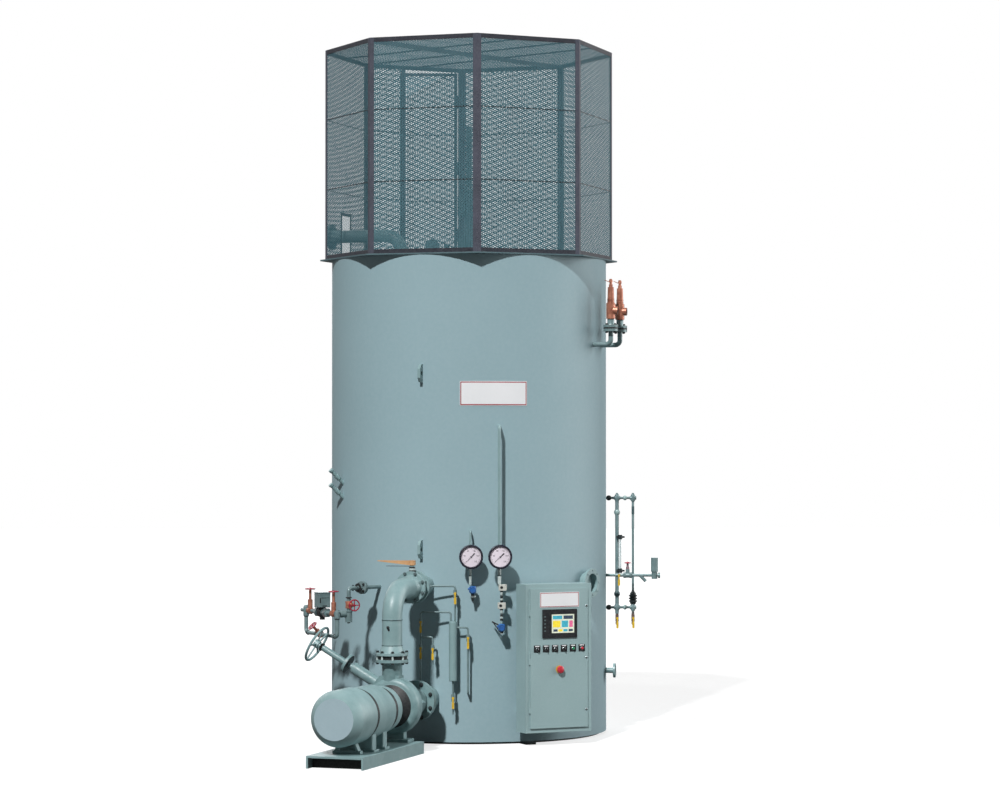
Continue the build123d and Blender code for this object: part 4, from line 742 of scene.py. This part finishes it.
for number in range(6):
    at = on_door(0.823, CAB_ACROSS + (number - 2.5) * LEGEND_PITCH)
    panel.block(at, (LEGEND, LEGEND, 0.003), "plastic", 0.001)
    panel.block(shift(at, 0.0, 0.022, 0.003), (0.040, 0.008, 0.0003), "plate")
    knob = shift(at, 0.0, -0.004, 0.003)
    panel.lathe(knob, [(0.0145, 0.0), (0.0145, 0.004), (0.0125, 0.006), (0.0, 0.006)], "steel",
                24)
    if number < len(SELECTOR_TURN):
        panel.lathe(knob, [(0.0115, 0.005), (0.0105, 0.016), (0.009, 0.018), (0.0, 0.018)],
                    "plastic", 24)
        grip = shift(knob, turn=90 + SELECTOR_TURN[number])
        panel.block(grip, (0.024, 0.006, 0.022), "plastic", 0.002)
        panel.block(shift(grip, 0.006, 0.0, 0.022), (0.009, 0.0016, 0.0003), "plate")
    else:
        panel.lathe(knob, [(0.0115, 0.005), (0.0115, 0.012), (0.0095, 0.016), (0.0, 0.018)],
                    "stop" if number == 5 else "lens_green", 24)
at = on_door(0.644)
panel.lathe(at, [(0.0, 0.0), (0.034, 0.0), (0.034, 0.003), (0.0, 0.003)], "yellow", 40, False)
panel.lathe(at, [(0.016, 0.003), (0.016, 0.014), (0.022, 0.0165)], "plastic", 28)
panel.lathe(at, [(0.0, 0.014), (0.030, 0.0145), (0.0325, 0.018), (0.0325, 0.024),
                 (0.029, 0.031), (0.018, 0.0355), (0.0, 0.0365)], "stop", 40)
panel.done("door_controls", body="cabinet_door", slot="black_paint")

# Latches of the cabinet door
trim = Piece("cabinet_trim")
DOOR_WIDE = 0.622 - 0.076
for z in (0.30, 0.74, 1.18):
    latch = on_door(z, CAB_ACROSS + DOOR_WIDE / 2 - 0.016)
    trim.lathe(latch, [(0.010, 0.0), (0.010, 0.003), (0.0075, 0.005), (0.0, 0.005)], "steel", 20)
    trim.block(shift(latch, z=0.0045), (0.0022, 0.012, 0.0012), "plastic")
trim.done(body="cabinet_door")

# Pump casing, lantern, motor and fan cover, each turned about the shaft
SHAFT = 0.392
PUMP_ACROSS = 0.050
CASING_Y = 2.005
RISE_X, RISE_Y = 0.029, 1.994
BEND_Z = 1.350
CHANNEL = 0.100
HOLLOW_Y, HOLLOW_W, HOLLOW_LONG = 2.593, 0.4470, 1.280
pump_out = outward(PUMP)


def pump(distance, height=SHAFT, across=PUMP_ACROSS):
    return spot(PUMP, distance, height, across)


def rise(z):
    return pump(RISE_Y, z, RISE_X)


def arc(radius, middle_r, middle_z, start, stop, steps=6):
    angles = [radians(start + (stop - start) * k / steps) for k in range(steps + 1)]
    return [(middle_r + radius * cos(a), middle_z + radius * sin(a)) for a in angles]


def drum(radius, low, high, edge=0.002, inner=0.0):
    """Profile of a plain round piece with broken edges."""
    return [(inner, low), (radius - edge, low), (radius, low + edge), (radius, high - edge),
            (radius - edge, high), (inner, high)]


def on_base(piece, place, size, material, edge=0.0, low=CHANNEL):
    piece.block(standing(PUMP, place, low, PUMP_ACROSS), size, material, edge)


shaft_at = along(pump(0.0), pump_out)
rise_at = along(rise(0.0), UP)
casing = Piece("pump_volute")
casing.lathe(shaft_at, drum(0.1715, 1.889, 1.918)[:-1]
             + [(0.1180, 1.918), (0.1095, 1.926), (0.1095, 1.931)], "green_cast", 64)
casing.lathe(shaft_at, [(0.0, 1.930)] + arc(0.045, 0.191, 1.975, -90, 0, 8)
             + arc(0.045, 0.191, 2.035, 0, 90, 8) + [(0.190, 2.080), (0.176, 2.081),
                                                     (0.120, 2.122), (0.112, 2.125),
                                                     (0.0, 2.125)], "green_cast", 96)
# Painted shade: a black crescent on the volute's front face, in the gap under the motor's front end
casing.lathe(shaft_at, [(0.178, 2.0812), (0.120, 2.1226), (0.113, 2.1256)], "black_and_shade", 96)
casing.prism(facing(PUMP, CASING_Y, SHAFT, PUMP_ACROSS),
             [(-0.105, 0.250), (-0.128, 0.226), (-0.160, 0.182), (-0.188, 0.133),
              (-0.212, 0.090), (0.0, 0.0), (0.063, 0.118), (0.063, 0.250)],
             -0.055, 0.055, "green_cast")
casing.lathe(rise_at, [(0.084, 0.510), (0.084, 0.722), (0.096, 0.742), (0.104, 0.749)]
             + drum(0.134, 0.749, 0.774)[1:], "green_cast", 64)
on_base(casing, CASING_Y, (0.200, 0.075, SHAFT - CHANNEL), "green_cast", 0.006)
on_base(casing, CASING_Y, (0.300, 0.150, 0.024), "green_cast", 0.006)
casing.done("pump_casing")

lantern = Piece("pump_lantern")
LANTERN_LOW, LANTERN_HIGH, PLATE, RIB = 2.125, 2.290, 0.026, 26.0
for low, high in ((LANTERN_LOW, LANTERN_LOW + PLATE), (LANTERN_HIGH - PLATE, LANTERN_HIGH)):
    lantern.lathe(shaft_at, drum(0.112, low, high), "green_cast", 64)
for k in range(4):
    angles = [radians(45 + 90 * k + RIB * (j / 4 - 1)) for j in range(9)]
    rows = [(r * cos(a), r * sin(a), z) for z in (LANTERN_LOW + 0.024, LANTERN_HIGH - 0.024)
            for r in (0.098, 0.112) for a in angles]
    faces = []
    for j in range(8):
        faces += [(9 + j, 9 + j + 1, 27 + j + 1, 27 + j), (j + 1, j, 18 + j, 18 + j + 1)]
    lantern.add(rows, faces + [(0, 9, 27, 18), (17, 8, 26, 35)], shaft_at, "line")
# Painted shade: a black drum inside the bell housing, seen through its windows
lantern.lathe(shaft_at, [(0.088, LANTERN_LOW + PLATE), (0.088, LANTERN_HIGH - PLATE)], "black_and_shade",
              48)
lantern.done("bell_housing")

motor = Piece("motor_body")
motor.lathe(shaft_at, [(0.0, 2.290)] + arc(0.024, 0.166, 2.314, -90, 0) + [(0.190, 2.516)],
            "green", 96)
motor.lathe(shaft_at, [(0.188, 2.512), (0.209, 2.516)] + arc(0.006, 0.209, 2.522, -90, 0, 3)
            + [(0.215, 2.926), (0.211, 2.930), (0.0, 2.930)], "green", 96)
# Black bands on the motor body; the one next to the fan cover is painted shade at that joint
for r, low, high in ((0.2156, 2.884, 2.926), (0.1906, 2.405, 2.450)):
    motor.lathe(shaft_at, [(r - 0.002, low), (r, low), (r, high), (r - 0.002, high)], "black_and_shade",
                96)
for place in (2.600, 2.840):
    on_base(motor, place, (0.300, 0.090, SHAFT - CHANNEL - 0.100), "green", 0.006)
    on_base(motor, place, (0.340, 0.110, 0.018), "green", 0.004)
# Painted shade: a black block fills the hollow of the base channel under the motor
on_base(motor, HOLLOW_Y, (HOLLOW_W, HOLLOW_LONG, 0.088), "black_and_shade", low=0.001)
motor.done("motor")

cowl = Piece("motor_fan_cover")
# Painted shade: the recessed neck between the motor and the fan cover is black
cowl.lathe(shaft_at, [(0.0, 2.930), (0.202, 2.930), (0.202, 2.952)], "black_and_shade", 96)
cowl.lathe(shaft_at, [(0.202, 2.952), (0.222, 2.952), (0.226, 2.956), (0.226, 3.254),
                      (0.2235, 3.262), (0.171, 3.331), (0.166, 3.335)], "green", 96)
cowl.lathe(shaft_at, [(0.166, 3.335), (0.0, 3.335)], "disc", 96)
cradle = facing(PUMP, 3.010, CHANNEL, PUMP_ACROSS)
cowl.prism(cradle, [(-0.118, 0.0), (0.118, 0.0), (0.118, 0.024), (-0.118, 0.024)], 0.0, 0.060,
           "green")
for side in (-1, 1):
    leg = [(side * 0.104, 0.020), (side * 0.082, 0.020), (side * 0.052, 0.089),
           (side * 0.074, 0.089)]
    cowl.prism(cradle, leg[::side], 0.0, 0.060, "green")
cowl.done("fan_cover")

riser = Piece("discharge_pipe")
riser.lathe(rise_at, [(0.106, 0.7745), (0.106, 0.806)] + drum(0.134, 0.806, 0.831)[1:-1]
            + [(0.104, 0.831), (0.087, 0.883), (0.084, 0.890)], "green", 64)
riser.tube([rise(0.880), rise(BEND_Z), pump(1.5495, BEND_Z, RISE_X)], 0.084, "green", 0.229, 48)
for z in (0.890, 1.100):
    riser.lathe(rise_at, [(0.083, z - 0.0030), (0.0875, z - 0.0025), (0.0875, z + 0.0025),
                          (0.083, z + 0.0030)], "line", 64)
riser.lathe(along(pump(0.0, BEND_Z, RISE_X), pump_out), drum(0.134, 1.5495, 1.5745)[:-1]
            + [(0.104, 1.5745), (0.087, 1.622), (0.083, 1.632)], "green", 64)
riser.done("discharge_riser")

# Bolts and studs on the flanges
bolts = Piece("flange_bolts")
VALVE = 1.685
NOZZLE = 1.481
END = 2 * VALVE - NOZZLE
WAFER_END = 1.5495
WAFER_FACE = WAFER_END - 0.056
DISCHARGE_PCD = 0.241
RELIEF = 1.384
RELIEFS = (60.0, 70.0)
RISER_WAY, RISER_Z = -42.0, 1.330
RISER_UNION, RISER_FLANGE, RISER_PIPE = 1.448, 1.524, 1.624
feed_out = outward(RISER_WAY)


def bolt_ring(centre, direction, pcd, count, radius, height, turn=0.0, material="bolt"):
    for at in ring(along(centre, direction), pcd / 2, count, turn):
        bolts.bolt(at, radius, height, material)


def stud_ring(centre, direction, radius, length, turn, material):
    """Studs that cross the gap between two flanges."""
    for at in ring(along(centre, direction), DISCHARGE_PCD / 2, 8, turn):
        bolts.lathe(at, [(radius, 0.0), (radius, length)], material, 10)


for face in (NOZZLE, END):
    for way in (-1, 1):
        bolt_ring(pump(face + way * 0.029), pump_out * way, 0.298, 8, 0.0145, 0.016, 22.5, "iron")
for face, way in ((WAFER_FACE - 0.025, -1), (WAFER_END + 0.025, 1)):
    bolt_ring(pump(face, BEND_Z, RISE_X), pump_out * way, DISCHARGE_PCD, 8, 0.0125, 0.014, 22.5)
stud_ring(pump(WAFER_FACE, BEND_Z, RISE_X), pump_out, 0.008, 0.056, 22.5, "bolt")
bolt_ring(rise(0.749), -UP, DISCHARGE_PCD, 8, 0.0135, 0.014, 0.0, "iron")
bolt_ring(rise(0.831), UP, DISCHARGE_PCD, 8, 0.0135, 0.016, 0.0, "iron")
stud_ring(rise(0.774), UP, 0.0085, 0.032, 0.0, "pale")
for azimuth in RELIEFS:
    for z, way in ((3.535, -1), (3.591, 1)):
        bolt_ring(spot(azimuth, RELIEF, z), UP * way, 0.098, 4, 0.0095, 0.014, 45.0, "black_and_shade")
for way in (-1, 1):
    bolt_ring(spot(RISER_WAY, RISER_UNION + way * 0.016, RISER_Z), feed_out * way, 0.080, 4, 0.0095,
              0.012, 45.0, "black_and_shade")
bolts.done()

# Gaskets, seams, sleeves and plugs over the pipework, and black discs of painted shade
fit = Piece("pipe_fittings")


def sleeve(centre, direction, inner, outer, length, material, sides=32, edge=0.001):
    """Short tube about a pipe, centred on a point."""
    at = shift(along(centre, direction), z=-length / 2)
    fit.lathe(at, drum(outer, 0.0, length, edge, inner), material, sides, sides > 8)


sleeve(rise(0.790), UP, 0.1060, 0.1150, 0.0316, "black_and_shade", 48)
PLUG_WAY = -25.0
plug = basis(rise(1.043) + outward(PLUG_WAY) * 0.0835, rightward(PLUG_WAY), outward(PLUG_WAY))
fit.lathe(plug, [(0.0, 0.014), (0.010, 0.014), (0.012, 0.012), (0.012, -0.004)], "black_and_shade", 6,
          False)
fit.bolt(shift(plug, 0.006, -0.022, -0.001), 0.0075, 0.010, "black_and_shade")

STEM_TILT = radians(30.0)
stem_way = rightward(PUMP) * -cos(STEM_TILT) + UP * sin(STEM_TILT)
# The thin black disc at 0.6125 is painted shade on the far face of the stem's disc
for reach, inner, outer, length, kind in (
        (0.6125, 0.0160, 0.0826, 0.0010, "black_and_shade"),
        (0.587, 0.0150, 0.0220, 0.050, "green"),
        (0.894, 0.0265, 0.0345, 0.016, "black_and_shade")):
    sleeve(pump(VALVE) + stem_way * reach, stem_way, inner, outer, length, kind, 40, 0.0003)

# Feed train: black waist, hexagon ends, box, left leg, tees and bands
FEED_LOW = 0.925
CONTROL = 0.390
feed_dir = rightward(FEED)


def feed(across, z=1.115):
    return spot(FEED, 1.578, z, across)


sleeve(feed(CONTROL), feed_dir, 0.010, 0.0426, 0.0650, "black_and_shade")
sleeve(feed(CONTROL), feed_dir, 0.0, 0.0300, 0.2200, "steel_green")
sleeve(feed(CONTROL, 1.064), UP, 0.0, 0.0222, 0.024, "black_and_shade")
sleeve(feed(CONTROL, 1.1425), UP, 0.0, 0.0230, 0.040, "black_and_shade")
for side in (-1, 1):
    sleeve(feed(CONTROL + side * 0.093), feed_dir, 0.010, 0.0424, 0.032, "steel", 6)
    sleeve(feed(CONTROL + side * 0.070), feed_dir, 0.010, 0.0375, 0.012, "line")
fit.block(basis(feed(CONTROL, 1.157), feed_dir, UP), (0.106, 0.106, 0.129), "steel_green", 0.004)
box_face = basis(feed(CONTROL + 0.053, 1.2215), rightward(22.5), outward(22.5))
box_left = basis(feed(CONTROL, 1.2215) + outward(FEED) * 0.053, feed_dir, outward(FEED))
for face in (box_face, box_left):
    for y, w, h, out, kind in (
            (0.044, 0.107, 0.0028, 0.0016, "line"),
            (0.0605, 0.107, 0.0070, 0.0022, "line"),
            (-0.061, 0.100, 0.0050, 0.0016, "black_and_shade")):
        fit.block(shift(face, 0.0, y, -0.001), (w, h, out), kind)
for x, y, w, h, kind in (
        (-0.041, -0.004, 0.011, 0.042, "black_and_shade"),
        (-0.008, 0.018, 0.046, 0.0050, "black_and_shade"),
        (0.030, 0.020, 0.022, 0.0040, "line"),
        (0.000, -0.050, 0.040, 0.0080, "black_and_shade")):
    fit.block(shift(box_face, x, y, -0.001), (w, h, 0.0018), kind)
fit.tube([feed(0.030), feed(0.030, FEED_LOW), feed(0.325, FEED_LOW)], 0.017, "steel_green",
         0.036, 24)
for across, low, high, r in ((0.030, 1.066, 1.150, 0.0248), (0.715, 1.076, 1.138, 0.0258)):
    sleeve(feed(across, (low + high) / 2), UP, 0.010, r, high - low, "steel_green", 28, 0.003)
    sleeve(feed(across, high + 0.004), UP, 0.004, r * 0.72, 0.012, "steel_green", 8)
    sleeve(feed(across, low - 0.003), UP, 0.016, r * 0.86, 0.006, "black_and_shade")
for across in (0.078, 0.668):
    sleeve(feed(across, FEED_LOW), feed_dir, 0.0165, 0.0215, 0.009, "black_and_shade")
for across in (0.121, 0.637):
    for way in (-1, 1):
        sleeve(feed(across + way * 0.0325), feed_dir, 0.0165, 0.0250, 0.011, "bronze", 6)
for z, inner, outer, length, kind, sides in (
        (1.131, 0.0295, 0.0318, 0.009, "line", 32),
        (1.040, 0.0, 0.0140, 0.012, "black_and_shade", 6),
        (1.2525, 0.0168, 0.0256, 0.010, "black_and_shade", 32)):
    sleeve(spot(RISER_WAY, RISER_PIPE, z), UP, inner, outer, length, kind, sides)
sleeve(spot(RISER_WAY, RISER_FLANGE - 0.0185, RISER_Z), feed_out, 0.0198, 0.0385, 0.004, "black_and_shade")
sleeve(spot(RISER_WAY, RISER_UNION, RISER_Z), feed_out, 0.0530, 0.0545, 0.004, "black_and_shade")
for at in ring(along(spot(RISER_WAY, RISER_FLANGE + 0.016, RISER_Z), feed_out), 0.029, 4, 45.0):
    fit.bolt(at, 0.0070, 0.010, "black_and_shade", False)

# Relief valves: green flange and neck under the copper body, mouths darkened by a disc of painted
# shade, lift levers
MOUTH_WAY = 75.0
lever_way = rightward(SERVICE) * -0.92 + UP * 0.39
for azimuth in RELIEFS:
    foot = spot(azimuth, RELIEF, 0.0)
    upright = along(foot, UP)
    fit.lathe(upright, [(0.0302, 3.5914), (0.0628, 3.5914), (0.0639, 3.5904), (0.0639, 3.5712),
                        (0.0637, 3.5700)], "steel_green", 44)
    fit.lathe(upright, [(0.0635, 3.5560), (0.0640, 3.5565), (0.0640, 3.5695),
                        (0.0635, 3.5700)], "black_and_shade", 44)
    fit.lathe(upright, [(0.0340, 3.5915), (0.0304, 3.5990), (0.0304, 3.6380),
                        (0.0330, 3.6406)], "steel_green", 36)
    mouth = along(foot + UP * 3.715, outward(MOUTH_WAY))
    # Painted shade: a black disc inside each mouth
    fit.lathe(mouth, [(0.0199, 0.050), (0.0, 0.050)], "ink_and_shade", 32)
    fit.lathe(mouth, [(0.0200, 0.0621), (0.0290, 0.0623)], "black_and_shade", 32)
    for z, inner, outer, length, kind, sides in (
            (3.500, 0.0208, 0.0225, 0.006, "line", 32),
            (3.785, 0.0265, 0.0335, 0.006, "bronze", 36),
            (3.800, 0.0265, 0.0330, 0.006, "bronze", 36),
            (3.815, 0.0265, 0.0325, 0.006, "bronze", 36),
            (3.930, 0.0118, 0.0185, 0.026, "bronze", 6),
            (3.972, 0.0118, 0.0160, 0.020, "bronze", 24)):
        sleeve(foot + UP * z, UP, inner, outer, length, kind, sides)
    pivot = foot + UP * 3.958 + outward(SERVICE) * 0.012
    fit.rod(pivot, pivot + lever_way * 0.060, 0.0038, "bronze", 10, 0.0030)

blow_mid = spot(81.0, 1.412, 1.391)
sleeve(blow_mid + UP * 0.052, UP, 0.010, 0.0175, 0.040, "stem_rose", 6)
sleeve(blow_mid + UP * 0.080, UP, 0.004, 0.0110, 0.022, "stem_rose", 16)
fit.done("feed_control_valve")

# Water column with its thin outer leg, ribbed trap, black unions and brown drain legs
column = Piece("level_column")
EAST = 90.0
LEG_NEAR, LEG_FAR = 1.323, 1.466
COLUMN_LOW, COLUMN_HIGH = 1.095, 2.071


def col(place, z):
    return spot(EAST, place, z)


def turned(centre, direction, profile, material, sides=28):
    """Turned form about a point: profile points are (radius, offset)."""
    column.lathe(along(centre, direction), profile, material, sides, sides > 8)


def union(centre, direction, r, half, material):
    turned(centre, direction, [(r * 0.45, -half), (r * 0.70, -half), (r * 0.92, -half * 0.5),
                               (r, 0.0), (r * 0.92, half * 0.5), (r * 0.70, half),
                               (r * 0.45, half)], material)


for z in (COLUMN_LOW, COLUMN_HIGH):
    column.rod(col(1.200, z), col(LEG_FAR, z), 0.0110, "steel_green", 20)
    union(col(1.249, z), outward(EAST), 0.0240, 0.019, "black_and_shade")
    union(col(1.3945, z), outward(EAST), 0.0220, 0.014, "pale_green")
    for place in (LEG_NEAR, LEG_FAR):
        union(col(place, z), outward(EAST), 0.0215, 0.029, "steel_green")
        union(col(place, z), UP, 0.0235, 0.032, "steel_green")
        if z == COLUMN_HIGH:
            turned(col(place, z), UP, [(0.010, 0.020), (0.0115, 0.034), (0.0115, 0.044),
                                       (0.0, 0.045)], "steel_green", 6)
column.rod(col(LEG_NEAR, 1.040), col(LEG_NEAR, 2.080), 0.0170, "steel_green", 24)
column.rod(col(LEG_FAR, 1.040), col(LEG_FAR, 2.080), 0.0110, "steel_green", 20)
for z, kind in ((1.215, "line"), (1.943, "pale_green")):
    union(col(LEG_NEAR, z), UP, 0.0270, 0.022, kind)
turned(col(LEG_FAR, 1.960), UP, [(0.0110, -0.035), (0.0125, -0.033), (0.0125, 0.033),
                                 (0.0110, 0.035)], "line")
turned(col(LEG_FAR, 1.174), UP, [(0.0110, -0.080), (0.0130, -0.056), (0.0260, -0.046),
                                 (0.0280, -0.040), (0.0280, 0.040), (0.0250, 0.048),
                                 (0.0140, 0.062), (0.0110, 0.075)], "iron", 32)
for z in (1.150, 1.174, 1.198):
    turned(col(LEG_FAR, z), UP, [(0.0270, -0.008), (0.0375, -0.005), (0.0380, 0.0),
                                 (0.0375, 0.005), (0.0270, 0.008)], "iron", 32)
for place in (LEG_NEAR, LEG_FAR):
    column.rod(col(place, 0.940), col(place, 1.040), 0.0121, "drain", 20)
    for z in (0.948, 0.958, 1.028, 1.040, 1.052, 1.064):
        turned(col(place, z), UP, [(0.0115, -0.003), (0.0150, -0.002), (0.0150, 0.002),
                                   (0.0115, 0.003)], "drain", 20)
    for low, high, r, sides in (
            (0.969, 0.984, 0.0168, 6), (0.984, 1.016, 0.0152, 24),
            (1.016, 1.031, 0.0168, 6)):
        turned(col(place, 0.0), UP, [(0.0, low), (r, low), (r, high), (0.0, high)], "drain",
               sides)
    column.lathe(basis(col(place, 1.000), UP, -rightward(EAST)),
                 [(0.0, 0.0), (0.0120, 0.0), (0.0120, 0.0190), (0.0067, 0.0200),
                  (0.0067, 0.0337), (0.0, 0.0337)], "drain", 20)
column.done("water_column")

# Heads of the instruments: two blue transmitters and two white switches with their fittings
heads = Piece("instrument_heads")


def rack(z, across, out=0.0):
    return spot(SERVICE, RACK + out, z, across)


def stack(across, rows):
    """Turned fittings on one riser: (low, high, radius, material, sides)."""
    for low, high, r, kind, sides in rows:
        long = high - low
        heads.lathe(along(rack(low, across), UP), drum(r, 0.0, long, min(0.0015, long * 0.2)),
                    kind, sides, sides > 8)


for across, low in ((0.031, 1.284), (0.277, 0.965)):
    heads.lathe(along(rack(low, across), UP),
                [(0.0, 0.0), (0.017, 0.0), (0.021, 0.006), (0.0300, 0.013), (0.0312, 0.018),
                 (0.0312, 0.052), (0.0290, 0.060), (0.0210, 0.066), (0.0, 0.067)], "blue", 40)
    heads.lathe(facing(SERVICE, RACK + 0.022, low + 0.035, across),
                [(0.0265, 0.0), (0.0265, 0.010), (0.0245, 0.0135), (0.0225, 0.0135),
                 (0.0210, 0.0115), (0.0, 0.0115)], "blue", 36)
    heads.lathe(along(rack(low + 0.042, across - 0.028), -rightward(SERVICE)),
                [(0.0100, 0.0), (0.0100, 0.006), (0.0080, 0.008), (0.0080, 0.013),
                 (0.0, 0.0135)], "blue", 20)
stack(0.031, [(1.268, 1.2845, 0.0150, "black_and_shade", 24), (1.252, 1.268, 0.0165, "steel", 6),
              (1.236, 1.252, 0.0130, "iron", 20), (1.222, 1.236, 0.0100, "iron", 16)])
heads.lathe(along(rack(1.258, 0.031), rightward(SERVICE) + UP * 0.2),
            [(0.0, 0.0), (0.0075, 0.0), (0.0075, 0.026), (0.0, 0.028)], "pale", 14)
stack(0.277, [(0.952, 0.9655, 0.0145, "black_and_shade", 24), (0.943, 0.952, 0.0120, "pale", 16)])
heads.rod(rack(1.0200, 0.251, -0.006), rack(1.046, 0.196, -0.040), 0.0065, "black_and_shade")
heads.rod(rack(1.0420, 0.204, -0.034), rack(0.960, 0.262, -0.018), 0.0050, "black_and_shade")
for across, low in ((0.285, 1.312), (0.277, 1.158)):
    front = facing(SERVICE, RACK - 0.024, low + 0.0265, across)
    heads.block(front, (0.069, 0.053, 0.046), "beige", 0.003)
    heads.block(shift(front, z=-0.001), (0.066, 0.050, 0.004), "beige")
    heads.lathe(shift(front, -0.009, 0.001, 0.046),
                [(0.0125, -0.001), (0.0125, 0.0018), (0.0100, 0.0028), (0.0, 0.0028)], "black_and_shade",
                28)
    for x in (-0.028, 0.028):
        for y in (-0.020, 0.020):
            heads.bolt(shift(front, x, y, 0.046), 0.0026, 0.0014, "bolt", False)
    stack(0.275, [(low - 0.012, low, 0.0150, "black_and_shade", 6),
                  (low - 0.034, low - 0.012, 0.0110, "pale", 20),
                  (low - 0.046, low - 0.034, 0.0140, "steel", 6),
                  (low - 0.066, low - 0.046, 0.0115, "black_and_shade", 20),
                  (low - 0.082, low - 0.066, 0.0145, "pale", 6),
                  (low - 0.100, low - 0.082, 0.0125, "black_and_shade", 20)])
for across, low, r in ((0.010, 1.362, 0.0098), (0.257, 1.368, 0.0140)):
    stack(across, [(low, 1.500, r + 0.0006, "pale", 20), (1.470, 1.486, r + 0.0045, "pale", 6),
                   (1.436, 1.444, r + 0.0030, "line", 20),
                   (1.418, 1.430, r + 0.0040, "pale", 6)])
heads.done("instruments", slot="instrument_body")

# Discharge lever: striped collar and plate on the valve, wedge on the lever's own body
LEVER_Y = (WAFER_FACE + WAFER_END) / 2
collar = Piece("lever_collar")
for low, high, r, kind in (
        (1.462, 1.480, 0.0270, "pale"), (1.480, 1.492, 0.0260, "black_and_shade"),
        (1.492, 1.508, 0.0270, "pale"), (1.508, 1.520, 0.0255, "black_and_shade")):
    collar.lathe(along(pump(LEVER_Y, 0.0, RISE_X), UP),
                 [(0.0190, low), (r, low), (r, high), (0.0190, high)], kind, 32, False)
collar.block(standing(PUMP, LEVER_Y, 1.5235, RISE_X - 0.125), (0.210, 0.034, 0.004), "post",
             0.001)
collar.done()
blade = Piece("lever_blade")
blade_at = basis(pump(LEVER_Y, 1.534, RISE_X), -rightward(PUMP), -pump_out)
blade.prism(blade_at, [(-0.026, 0.0), (0.020, 0.0), (0.306, 0.031), (0.310, 0.034),
                       (0.306, 0.038), (-0.026, 0.040)], -0.015, 0.015, "tan")
blade.lathe(blade_at @ Matrix.Rotation(radians(-90.0), 4, "X"),
            [(0.0, 0.0), (0.026, 0.0), (0.026, 0.041), (0.0, 0.041)], "tan", 32)
blade.done("discharge_lever", body="discharge_lever", slot="tan_paint")


# Floor, light and camera
FLOOR_SEEN = 0.35
FLOOR_WHITE = 0.72
AMBIENT = 0.07
GLOSSY = 0.32
WHITE = (1.0, 1.0, 1.0, 1.0)


def floor_material():
    """Plain floor that looks white to the camera, also through glass, and keeps its shadows."""
    t = Tree("floor_paint")
    seen = t.seen(t.node("ShaderNodeLightPath"))
    toned = t.blend(t.patches(1.5), shade((106, 106, 106)), shade((100, 100, 100)))
    matte = t.node("ShaderNodeBsdfDiffuse")
    t.link(t.blend(seen, toned, (FLOOR_SEEN, FLOOR_SEEN, FLOOR_SEEN, 1.0)),
           matte.inputs["Color"])
    white = t.node("ShaderNodeEmission", Color=WHITE)
    t.link(t.ramp(seen, 0.0, 1.0, 0.0, FLOOR_WHITE), white.inputs["Strength"])
    both = t.node("ShaderNodeAddShader")
    t.link(matte.outputs[0], both.inputs[0])
    t.link(white.outputs[0], both.inputs[1])
    return t.finish(both)


floor_mesh = bpy.data.meshes.new("floor")
floor_mesh.from_pydata([(-60, -60, 0), (60, -60, 0), (60, 60, 0), (-60, 60, 0)], [],
                       [(0, 1, 2, 3)])
floor = bpy.data.objects.new("floor", floor_mesh)
bpy.context.scene.collection.objects.link(floor)
floor_mesh.materials.append(floor_material())

sky = Tree("studio", world=True)
path = sky.node("ShaderNodeLightPath")
back = sky.node("ShaderNodeBackground", Color=WHITE)
sky.link(sky.most(sky.ramp(sky.seen(path), 0.0, 1.0, AMBIENT, 1.0),
                  sky.ramp(path.outputs["Is Glossy Ray"], 0.0, 1.0, 0.0, GLOSSY)),
         back.inputs["Strength"])
bpy.context.scene.world = sky.finish(back)


def sun(name, azimuth, elevation, energy, spread):
    data = bpy.data.lights.new(name, "SUN")
    data.energy = energy
    data.angle = radians(spread)
    lamp = bpy.data.objects.new(name, data)
    bpy.context.scene.collection.objects.link(lamp)
    direction = outward(azimuth) * cos(radians(elevation)) + UP * sin(radians(elevation))
    lamp.matrix_world = along(spot(azimuth, 10.0, 10.0), direction)


sun("key", -21.5, 45.0, 3.60, 3.0)
sun("right", 97.0, 16.0, 2.30, 50.0)
sun("back", 180.0, 32.0, 1.60, 60.0)

camera_data = bpy.data.cameras.new("camera")
camera_data.lens = 109.4
camera_data.sensor_width = 36.0
camera_data.clip_end = 400.0
camera = bpy.data.objects.new("camera", camera_data)
camera.location = (-1.445, -27.03, 2.605)
camera.rotation_euler = (radians(90.0 + 0.718), 0.0, radians(-(3.06 + 0.583)))
bpy.context.scene.collection.objects.link(camera)
bpy.context.scene.camera = camera

# Finishes of the CAD's nodes; where none is named, wheels are red, levers yellow, the rest green
FINISH = {
    "shell": ("vessel_shell",), "dark": ("cage_rails", "roof_frame"), "post": ("cage_posts",),
    "deck": ("deck_plate", "cover_plate", "lift_cylinder", "head_fittings"),
    "iron": ("base_plate", "glass_valves"), "bronze": ("relief_valves", "feed_gate_valves"),
    "steel_green": ("relief_piping", "blow_line", "sample_piping", "feed_piping",
                    "water_column", "feed_control_valve"),
    "glass": ("gauge_glass",), "beige": ("instruments",), "interior": ("cabinet_mounts",),
    "cabinet": ("cabinet_box", "cabinet_door"), "green": ("suction_handwheel",),
    "green_cast": ("suction_valve", "discharge_valve", "pump_casing", "bell_housing"),
}
named = {node: kind for kind, group in FINISH.items() for node in group}
for name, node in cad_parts.items():
    plain = "red" if "wheel" in name else "yellow" if "lever" in name else "green"
    node.data.materials.clear()
    node.data.materials.append(M[named.get(name, plain)])
